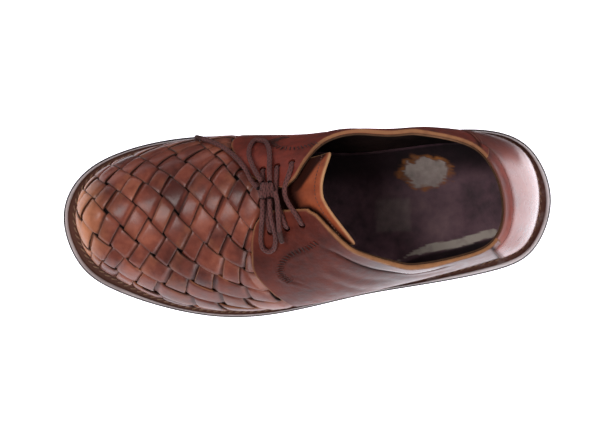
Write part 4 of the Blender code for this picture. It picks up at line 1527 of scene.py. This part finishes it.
def make_tongue_stitches():
    across = np.linspace(*TONGUE_SEAM_ENDS, SEAM_SAMPLES)
    places = tongue_places(across, np.full(SEAM_SAMPLES, TONGUE_SEAM_SHARE))
    lift = TONGUE_OUTSIDE + TONGUE_SEAM_LIFT
    return sew_upper("tongue_stitches", *places, lift, "tongue", brown_thread)


tongue = make_tongue()
tongue_stitches = make_tongue_stitches()
print("tongue faces", len(tongue.data.polygons))

# %% [markdown]
# ## Insole
# The sock inside is dark with wear. Under the heel it is rubbed through to a pale ragged spot
# with a brown fringe, and its outer edge is rubbed pale as well. Both are values on a fine grid, and so is
# the gloom along both margins: painted shade where the walls shade the sock.

# %% Wear of the insole
MARGIN_TONE = -0.8
TONE_CURVE = 3
WORN_SPOT = (74.0, -20.0)
WORN_SPOT_HALF = (14.2, 9.4)
WORN_STRIP = (
    (92.0, 32.0), (82.0, 27.7), (72.4, 25.2), (61.6, 23.7), (49.7, 21.1), (40.1, 18.4), (35.0, 17.2),
)
WORN_STRIP_STEP = 0.5
WORN_STRIP_HALF = 2.3
WORN_STRIP_LEAST = 0.15
FADED_MIDDLE = (94.0, 5.0)
FADED_HALF = (10.5, 10.0)
# Fades: start and run.
SPOT_EDGE = (1.0, -0.12)
FRINGE_EDGE = (1.20, -0.18)
STRIP_START = (0.0, 22.0)
STRIP_END = (61.0, -2.0)
STRIP_EDGE = (0.0, 0.6)
FADED_EDGE = (1.10, -0.3)
INNER_GLOOM = (0.65, 0.25)
OUTER_GLOOM = (1.5, 3.0)
# How much the uneven wear moves an edge or changes a strength.
SPOT_UNEVEN = 0.22
STRIP_UNEVEN = 0.35
FRINGE = (0.75, 0.4)
WEAR = (1.1, 0.15)
SPOT_WORN = 0.62
STRIP_WORN = 1.1
FADED = 0.25
INSOLE_GLOOM = 0.88
# Uneven wear, slow and fast: share, then rate, bend and rate of the bend for x and for y.
RAGGED = (
    (0.65, (0.55, 1.3, 0.41), (0.63, 1.1, 0.37)),
    (0.35, (1.9, 2.0, 1.3), (2.2, 1.7, 1.1)),
)


def bent_wave(place, other, rate, bend, bend_rate):
    return np.sin(rate * place + bend * np.sin(bend_rate * other))


def ragged(x, y):
    """Uneven number between about -1 and 1 that changes within a few millimetres."""
    return sum(share * (bent_wave(x, y, *one) * bent_wave(y, x, *two)) for share, one, two in RAGGED)


def smooth_route(points, step):
    """Points at even steps along a smooth curve through the points given."""
    points = np.asarray(points, dtype=float)
    runs = runs_along(points)
    count = max(3, int(round(runs[-1] / step)) + 1)
    return open_curve(runs, points)(np.linspace(0.0, runs[-1], count))


def insole_wear(x, y, width):
    """Values of the sock: rubbed spot and strip, brown fringe, painted shade (gloom) along the margins."""
    spot_x, spot_y = ((v - c) / h for v, c, h in zip((x, y), WORN_SPOT, WORN_SPOT_HALF))
    uneven = ragged(x, y)
    reach = np.hypot(spot_x, spot_y) + SPOT_UNEVEN * uneven
    spot = fade(reach, *SPOT_EDGE)
    fringe = fade(reach, *FRINGE_EDGE) * (1.0 - spot) * (FRINGE[0] + FRINGE[1] * ragged(y, x))
    line = smooth_route(WORN_STRIP, WORN_STRIP_STEP)
    flat, flat_line = (np.insert(place, 2, 0.0, axis=-1) for place in (np.stack([x, y], axis=-1), line))
    gap, run, _ = nearest(flat, flat_line)
    breadth = WORN_STRIP_HALF * (WORN_STRIP_LEAST + fade(run, *STRIP_START)) * fade(run, *STRIP_END)
    strip = fade(breadth - gap + STRIP_UNEVEN * uneven, *STRIP_EDGE)
    faded_x, faded_y = (np.abs(v - c) / h for v, c, h in zip((x, y), FADED_MIDDLE, FADED_HALF))
    faded = FADED * fade(np.maximum(faded_x, faded_y), *FADED_EDGE)
    rubbed = np.maximum(SPOT_WORN * spot, STRIP_WORN * strip) * (WEAR[0] + WEAR[1] * uneven)
    past = y - np.interp(x, *line[line[:, 0].argsort()].T)
    # Painted shade along both margins, where the walls shade the sock; not on the spot or the strip.
    gloom = np.maximum(fade(width, *INNER_GLOOM) * (1.0 - spot), fade(past, *OUTER_GLOOM) * (1.0 - strip))
    return {
        "raw": np.clip(fringe, 0.0, 1.0),
        "worn": np.maximum(rubbed, faded),
        "shade": INSOLE_GLOOM * gloom,
        "tone": MARGIN_TONE * np.abs(2.0 * width - 1.0) ** TONE_CURVE,
    }


# %% Insole
INSOLE_RISE = 1.5
INSOLE_LAP = 1.3
INSOLE_COLUMNS = 230
INSOLE_ROWS = 80
# Hollows of the sock: x, length and depth.
HOLLOWS = ((48.0, 30.0, 0.9), (215.0, 35.0, 0.8))
MARGIN_RISE = 1.4
MARGIN_CURVE = 5


def make_insole():
    station = np.linspace(0.0, TOE, INSOLE_COLUMNS + 2)[1:-1]
    plan = []
    for position in (station, LOOP - station):
        edge, away = sole_edge(position)
        plan.append(edge - (rib_show(position) + WALL + INSOLE_LAP)[:, None] * away)
    width = np.linspace(0.0, 1.0, INSOLE_ROWS)
    spread = plan[0][:, None] * (1.0 - width[:, None]) + plan[1][:, None] * width[:, None]
    x, y = np.moveaxis(spread, -1, 0)
    level = sole_top(x) + GAP
    dish = MARGIN_RISE * np.abs(2.0 * width - 1.0) ** MARGIN_CURVE
    for middle, length, depth in HOLLOWS:
        dish = dish - hump(x - middle, depth, length)
    top = np.stack([x, y, level + WELT_THICK + INSOLE_RISE + dish], axis=-1)
    bottom = np.stack([x, y, level], axis=-1)
    return sheet("insole_sock", top, bottom, leathers["insole"], insole_wear(x, y, width))


insole = make_insole()
print("insole faces", len(insole.data.polygons))

# %% [markdown]
# ## Welt
# The welt is the pale strip that carries the upper. Seen from above it is a rounded bead along the
# edge, then a dark groove with slanting stitches, then the foot of the upper. A section that goes
# round the sole's edge makes it; the bead takes two fifths of what shows, so it narrows at the waist.

# %% Welt
WELT_RIBS = 40
WELT_INSET = 1.0
WELT_UNDER = 4.0
BEAD_LEAST = 1.6
BEAD_MOST = 2.9
BEAD_SHARE = 0.40
GROOVE_RISE = 2.3
# Browner towards the toe: strength, then start and run.
TOE_BROWN = 0.45
TOE_BROWN_X = (110.0, 90.0)
STITCHED_SHOW = 4.2
LOW_RIBS = np.linspace(0.0, 0.6, 25)
# Section: shares of outside, bead, groove and under, then rise, raw and shade.
WELT_SECTION = (
    (1.0, 0.0, 0.0, 0.0, 0.0, 0.3, 0.3),
    (1.0, 0.0, 0.0, 0.0, 2.5, 0.0, 0.0),
    (0.85, 0.15, 0.0, 0.0, 3.2, 0.0, 0.0),
    (0.5, 0.5, 0.0, 0.0, 3.5, 0.0, 0.0),
    (0.1, 0.9, 0.0, 0.0, 3.35, 0.1, 0.0),
    (0.0, 0.94, 0.06, 0.0, 2.8, 1.0, 0.4),
    (0.0, 0.84, 0.16, 0.0, GROOVE_RISE, 1.1, 0.2),
    (0.0, 0.1, 0.9, 0.0, GROOVE_RISE, 1.1, 0.2),
    (0.0, 0.0, 0.85, 0.15, 2.6, 1.1, 0.5),
    (0.0, 0.0, 0.0, 1.0, 2.6, 1.1, 0.6),
    (0.0, 0.0, 0.0, 1.0, 0.0, 1.1, 0.6),
)
WELT_STITCH_ROW = (0.0, 0.42, 0.58, 0.0, GROOVE_RISE + 0.15)
welt_positions = np.linspace(0.0, LOOP, LOOP * WELT_RIBS, endpoint=False)


def welt_marks(position):
    """Distances from the edge of the sole: outside, end of bead, end of groove, under the upper."""
    show = rib_show(position)
    _, away = sole_edge(position)
    ribs = surface(position[:, None], LOW_RIBS[None, :])
    reach = (ribs[..., :2] * away[:, None]).sum(axis=-1)
    seen = np.maximum(show - (reach.max(axis=1) - reach[:, 0]), 0.0)
    bead = np.clip(BEAD_SHARE * seen, BEAD_LEAST, BEAD_MOST)
    return np.stack([np.full_like(show, WELT_INSET), bead, show, show + WELT_UNDER], axis=-1)


def welt_points(position, rows):
    """Points on the welt: rows give the shares of the four distances and the rise."""
    edge, away = sole_edge(position)
    inset = welt_marks(position) @ rows[:, :4].T
    plan = edge[:, None] - inset[..., None] * away[:, None]
    level = sole_top(plan[..., 0]) + GAP + rows[:, 4]
    return np.concatenate([plan, level[..., None]], axis=-1)


def make_welt():
    rows = np.array(WELT_SECTION)
    points = welt_points(welt_positions, rows)
    count, sides = points.shape[:2]
    faces = grid_faces(count, sides, close_columns=True, close_rows=True).tolist()
    raw = rows[:, 5] + TOE_BROWN * fade(points[..., 0], *TOE_BROWN_X)
    values = {"raw": raw, "shade": np.broadcast_to(rows[:, 6], (count, sides))}
    return make_mesh("welt_strip", points.reshape(-1, 3), faces, leathers["welt"], values)


def make_welt_stitches():
    points = welt_points(welt_positions, np.array([WELT_STITCH_ROW]))[:, 0]
    wide = rib_show(welt_positions) > STITCHED_SHOW
    pairs = [(k, (k + 1) % len(points)) for k in range(len(points))]
    line = bpy.data.meshes.new("welt_stitches")
    line.from_pydata(to_frame(points).tolist(), [(k, n) for k, n in pairs if wide[k] and wide[n]], [])
    return sew("welt_stitches", line, welt_sewing, "welt", tan_thread)


welt = make_welt()
welt_stitches = make_welt_stitches()
print("welt faces", len(welt.data.polygons), "stitch faces", len(welt_stitches.data.polygons))

# %% [markdown]
# ## Outsole
# The sole is one dark rubber unit with its heel. It is a row of sections across the shoe: soft upper
# and lower edges, a slightly tapered wall, and underneath shallow bars of tread under ball and heel.

# %% Rubber
# Noises: scale and detail.
DUST = (60.0, 8.0)
FINE = (700.0, 4.0)
DUST_LEVELS = (0.42, 0.85)
# Strength and distance.
RUBBER_BUMP = (0.2, 0.0005)
RUBBER_ROUGH = 0.45
RUBBER_SPREAD = 0.3


def rubber(name, dark, light):
    """Matt rubber with dust in its scuffs."""
    material, tree, shader = new_material(name)
    place = object_place(tree)
    fine = cloud(tree, place, *FINE)
    inputs = {
        "Base Color": ramp(tree, cloud(tree, place, *DUST), tuple(zip(DUST_LEVELS, (dark, light)))),
        "Roughness": compute(tree, "ADD", compute(tree, "MULTIPLY", fine, RUBBER_SPREAD), RUBBER_ROUGH),
        "Normal": bumped(tree, *RUBBER_BUMP, fine),
    }
    set_inputs(tree, shader, inputs)
    return material


sole_rubber = rubber("sole_rubber", srgb(44, 36, 34), srgb(92, 80, 74))
print("rubber:", sole_rubber.name)

# %% Underside of the sole
HEEL_BREAST_X = 82.0
HEEL_BREAST_RAKE = 5.0
WAIST_CLEAR = 8.5
TREAD_START_X = 160.0
TREAD_END_X = 222.0
TOE_SPRING = 10.0
TOE_CURVE = 1.8
TREAD_DEPTH = 0.9
TREAD_PITCH = 7.5
TREAD_SLANT = 0.12
TREAD_EDGE = (0.25, 0.3)
TREAD_MARGIN = (8.0, 2.0)
# Stretches with tread: first x, last x and how far it fades in and out.
TREADS = ((150.0, 276.0, 8.0), (10.0, 70.0, 5.0))


def sole_bottom(x):
    """Underside: flat heel, breast, raised waist, flat tread and the spring of the toe."""
    ahead = np.clip((x - TREAD_END_X) / (SHOE_LENGTH - TREAD_END_X), 0.0, 1.0)
    behind = np.clip((TREAD_START_X - x) / (TREAD_START_X - HEEL_BREAST_X), 0.0, 1.0)
    clear = TOE_SPRING * ahead**TOE_CURVE + WAIST_CLEAR * smooth_step(behind)
    breast = np.clip((x - HEEL_BREAST_X + HEEL_BREAST_RAKE) / HEEL_BREAST_RAKE, 0.0, 1.0)
    return clear * breast


def tread(x, y, margin):
    """Depth of the grooves between bars that lie across ball and heel."""
    bars = np.cos(2.0 * math.pi * (x[:, None] + TREAD_SLANT * np.abs(y)) / TREAD_PITCH)
    under = sum(fade(x, first, run) * fade(x, last, -run) for first, last, run in TREADS)
    deep = TREAD_DEPTH * fade(bars, *TREAD_EDGE) * under[:, None]
    return deep * fade(margin, *TREAD_MARGIN)


# %% Sole unit
# Taper of the wall and softness of its edges: millimetres, and the most as a share of the width.
EDGE_TAPER = (2.0, 0.25)
EDGE_SOFT = (0.7, 0.15)
WALL_BEND = 0.4
SOLE_STATIONS = 900
SOLE_SECTIONS = 300
SOLE_ACROSS = 30


def make_outsole():
    stations = np.linspace(0.0, TOE, SOLE_STATIONS)
    turns = np.linspace(0.0, math.pi, SOLE_SECTIONS + 2)[1:-1]
    x = SHOE_LENGTH * (1.0 - np.cos(turns)) / 2.0
    outer, inner = (np.interp(x, *rib_rows(place)[:, :2].T) for place in (stations, LOOP - stations))
    taper, soft = (np.minimum(size, most * (outer - inner)) for size, most in (EDGE_TAPER, EDGE_SOFT))
    top, bottom = sole_top(x), sole_bottom(x)
    walls = []
    for edge, way in ((outer, -1.0), (inner, 1.0)):
        bend = (edge + way * WALL_BEND * taper, top - WALL_BEND * (top - bottom))
        foot = (edge + way * taper, bottom + soft)
        walls.append([(edge + way * soft, top), (edge, top - soft), bend, foot])
    low, high = inner + taper + soft, outer - taper - soft
    y = high[:, None] + (low - high)[:, None] * np.linspace(0.0, 1.0, SOLE_ACROSS)
    margin = np.minimum(y - inner[:, None], outer[:, None] - y)
    under = bottom[:, None] + tread(x, y, margin)
    rows = [*walls[0], *zip(y.T, under.T), *walls[1][::-1]]
    points = np.stack([np.stack([x, *row], axis=-1) for row in rows], axis=1)
    count, sides = points.shape[:2]
    faces = grid_faces(count, sides, close_rows=True).tolist()
    faces += [[section * sides + s for s in range(sides)] for section in (0, count - 1)]
    return make_mesh("sole_unit", points.reshape(-1, 3), faces, sole_rubber)


outsole = make_outsole()
print("outsole faces", len(outsole.data.polygons))

# %% [markdown]
# ## Lace
# The lace is a thin round braided cord: three bars across the throat, a knot, two loops and two free
# ends with plain tips. The routes are the ones of the frame: places in the plan and the height of
# the cord's middle over the leather. A tube round a smooth curve through them carries a UV map, so
# the braid can follow the cord.

# %% Cord
LACE_DIAMETER = 2.6
LACE_RADIUS = 1.42
LACE_SIDES = 14
LACE_STEP = 1.0
UPRIGHT = 0.9


def tube(name, points, radius, material):
    """Round tube along points with closed ends; its UV map runs round (0 to 1) and along (mm)."""
    count, runs = len(points), runs_along(points)
    radius = np.broadcast_to(radius, (count,))
    along = unit(np.gradient(points, axis=0))
    side = np.cross(along[0], UP if abs(along[0][2]) < UPRIGHT else (1.0, 0.0, 0.0))
    turns = np.linspace(0.0, 2.0 * math.pi, LACE_SIDES, endpoint=False)[:, None]
    rings = []
    for k in range(count):
        side = unit(side - along[k] * side.dot(along[k]))
        other = np.cross(along[k], side)
        rings.append(points[k] + radius[k] * (np.cos(turns) * side + np.sin(turns) * other))
    faces = grid_faces(count, LACE_SIDES, close_rows=True)[:, BACK].tolist()
    ring, spoke = (v[:, None] for v in np.divmod(np.arange(len(faces)), LACE_SIDES))
    round_about = (spoke + np.array((0, 1, 1, 0))) / LACE_SIDES
    marks = np.stack([round_about, runs[ring + np.array((0, 0, 1, 1))]], axis=-1).reshape(-1, 2).tolist()
    for k, turn in ((0, -1), (count - 1, 1)):
        faces.append([k * LACE_SIDES + s for s in range(LACE_SIDES)][::turn])
        marks += [(0.0, runs[k])] * LACE_SIDES
    mesh = bpy.data.meshes.new(name)
    mesh.from_pydata(to_frame(np.concatenate(rings)).tolist(), [], faces)
    mesh.uv_layers.new(name="cord").uv.foreach_set("vector", np.ravel(marks))
    mesh.shade_smooth()
    mesh.materials.append(material)
    return add_object(name, mesh), runs[-1]


# %% Braid and tips
BRAID_STRANDS = 4.0
BRAID_PITCH = 3.2
BRAID_LEAST = 0.35
BRAID_BUMP = (0.5, 0.0004)
# Noises: scale and detail.
BRAID_FADE = (120.0, 4.0)
TIP_FIBRES = (800.0, 3.0)


def braid_material(name, dark, light):
    """Waxed round braid: two families of strands that wind round the cord both ways."""
    material, tree, shader = new_material(name)
    cord = add_node(tree, "ShaderNodeUVMap", uv_map="cord").outputs[0]
    parts = add_node(tree, "ShaderNodeSeparateXYZ", {0: cord}).outputs
    turns = compute(tree, "MULTIPLY", parts["X"], BRAID_STRANDS)
    rise = compute(tree, "MULTIPLY", parts["Y"], 1.0 / BRAID_PITCH)
    strands = []
    for operation in ("ADD", "SUBTRACT"):
        angle = compute(tree, "MULTIPLY", compute(tree, operation, turns, rise), math.pi)
        strands.append(compute(tree, "ABSOLUTE", compute(tree, "SINE", angle)))
    height = compute(tree, "MAXIMUM", *strands)
    faded = compute(tree, "ADD", cloud(tree, object_place(tree), *BRAID_FADE), BRAID_LEAST)
    inputs = {
        # The colour follows the strands' height: painted shade in the grooves between them.
        "Base Color": blend(tree, compute(tree, "MULTIPLY", height, faded), dark, light),
        "Normal": bumped(tree, *BRAID_BUMP, height),
        "Roughness": 0.6, "Specular IOR Level": 0.2, "Sheen Weight": 0.05,
    }
    set_inputs(tree, shader, inputs)
    return material


lace_braid = braid_material("lace_braid", srgb(32, 17, 17), srgb(102, 59, 56))
lace_tip = mottled(
    "lace_tip", TIP_FIBRES, srgb(40, 23, 22), srgb(84, 54, 50), {"Roughness": 0.6, "Specular IOR Level": 0.15}
)
print("lace materials:", lace_braid.name, lace_tip.name)

# %% Bars through the eyelets
BAR_LIFT = LACE_DIAMETER / 2 + GAP
BAR_SHARES = np.linspace(0.0, 1.0, 9)[:, None]
BAR_PULL = {1: 0.0, 2: 2.5, 3: 6.5}
HOLE_LIFT = 0.2
HOLE_EASE = 0.2
EYELET_DEPTH = -5.0


def make_bar(number, row):
    """Bar from hole to hole, drawn a little towards the knot, that dips into both holes."""
    first, last = np.reshape(row, (2, 2))
    plan = first + (last - first) * BAR_SHARES
    plan[:, :1] += BAR_PULL[number] * np.sin(math.pi * BAR_SHARES) ** 2
    over = [over_upper(x, y, BAR_LIFT)[0] for x, y in plan]
    for end, beside in ((0, 1), (-1, -2)):
        over[end] = over_upper(*plan[end], HOLE_LIFT)[0] + HOLE_EASE * (over[beside] - over[end])
    route = [over_upper(*plan[0], EYELET_DEPTH)[0], *over, over_upper(*plan[-1], EYELET_DEPTH)[0]]
    return tube(f"bar_{number}", smooth_route(route, LACE_STEP), LACE_RADIUS, lace_braid)[0]


bars = [make_bar(number, row) for number, row in enumerate(LACE_BARS, start=1)]
print("bars:", [piece.name for piece in bars])

# %% Bow: knot, loops and ends
KNOT_PLACE = (166.2, -12.4)
KNOT_LIFT = 5.0
KNOT_HALF = (3.6, 3.2, 1.6)
KNOT_TURNS = 3.25
KNOT_STEPS = 70
# Routes: x, y and height over the leather.
LACE_ROUTES = {
    "lace_loop_medial": (
        (164.3, -16.6, 4.9), (165.2, -23.0, 3.6), (165.5, -30.5, 2.2), (166.5, -36.8, 1.8),
        (169.6, -40.3, 1.8), (173.9, -40.7, 1.8), (177.0, -37.6, 1.8), (177.8, -32.8, 1.8),
        (176.2, -27.6, 2.4), (172.8, -22.0, 4.4), (169.0, -16.7, 5.0),
    ),
    "lace_loop_lateral": (
        (168.4, -8.1, 5.2), (169.0, -1.0, 4.9), (170.6, 5.4, 3.4), (171.9, 10.8, 1.9),
        (172.2, 16.4, 1.8), (170.8, 20.6, 1.8), (168.2, 21.9, 1.8), (165.6, 20.8, 1.8),
        (164.0, 17.2, 1.8), (163.6, 12.4, 2.0), (164.0, 7.0, 3.2), (164.3, 0.0, 4.9), (164.3, -8.1, 5.2),
    ),
    "lace_end_medial": (
        (171.0, -13.4, 5.0), (175.2, -17.2, 3.8), (179.4, -24.0, 2.2), (184.6, -30.4, 1.8),
        (194.0, -37.8, 1.8), (202.6, -41.6, 1.8), (209.2, -43.4, 1.8),
    ),
    "lace_end_lateral": (
        (161.3, -11.8, 5.0), (160.2, -7.4, 4.9), (160.0, -2.0, 4.8), (160.0, 4.0, 4.8),
        (159.8, 10.0, 4.7), (159.4, 15.6, 3.4),
    ),
}
TIP_LENGTH = 9.0
TIP_SWELL = 0.12
TIP_PAST = 0.05
TIP_TAPER = 0.8


def make_knot():
    centre, _ = over_upper(*KNOT_PLACE, KNOT_LIFT)
    turn = np.linspace(0.0, KNOT_TURNS * 2.0 * math.pi, KNOT_STEPS)
    share = np.linspace(-1.0, 1.0, KNOT_STEPS)
    route = np.stack([share, np.cos(turn), np.sin(turn)], axis=1) * np.array(KNOT_HALF)
    return tube("bow_knot", centre + route, LACE_RADIUS, lace_braid)[0]


def make_tip(name, points):
    """Plain tip round the last stretch of a lace end."""
    stretch = points[-int(TIP_LENGTH / LACE_STEP) :] + (points[-1] - points[-2]) * TIP_PAST
    radius = np.full(len(stretch), LACE_RADIUS + TIP_SWELL)
    radius[-1] *= TIP_TAPER
    return tube(name, stretch, radius, lace_tip)[0]


def make_free_lace(name):
    points = smooth_route([over_upper(*row)[0] for row in LACE_ROUTES[name]], LACE_STEP)
    piece, length = tube(name.replace("lace", "bow"), points, LACE_RADIUS, lace_braid)
    tips = [make_tip(name.replace("lace_end", "bow_tip"), points)] if "end" in name else []
    return piece, points, length, tips


knot = make_knot()
free_laces = {name: make_free_lace(name) for name in LACE_ROUTES}
print("lace lengths, mm:", {name: round(made[2], 1) for name, made in free_laces.items()})

# %% [markdown]
# ## Putting the shoe together
# The skin was only a tool, so it goes. Every piece rides on the one body of the shoe and stands for its
# solid in the frame, which is hidden. A table lists the pieces under the finish they have in the record.

# %% Pieces, solids and finishes
bpy.data.objects.remove(skin)
free_pieces = {name: made[0] for name, made in free_laces.items()}
lace_tips = [tip for made in free_laces.values() for tip in made[3]]
SLOTS = {
    "upper_leather": [*weave, *quarters.values(), heel_panel, *stitches, lining],
    "tongue_leather": [tongue, tongue_stitches],
    "insole_leather": [insole],
    "welt_leather": [welt, welt_stitches],
    "sole_rubber": [outsole],
    "lace_cord": [*bars, knot, *free_pieces.values(), *lace_tips],
}
for slot, pieces in SLOTS.items():
    for piece in pieces:
        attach(piece, "root")
REPLACED = {
    "upper": lining, "tongue": tongue, "insole": insole, "welt": welt, "outsole": outsole, "lace_knot": knot,
    **{f"lace_bar_{number}": bar for number, bar in enumerate(bars, start=1)},
    **free_pieces,
}
for node, piece in REPLACED.items():
    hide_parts(node)
print({slot: len(pieces) for slot, pieces in SLOTS.items()})
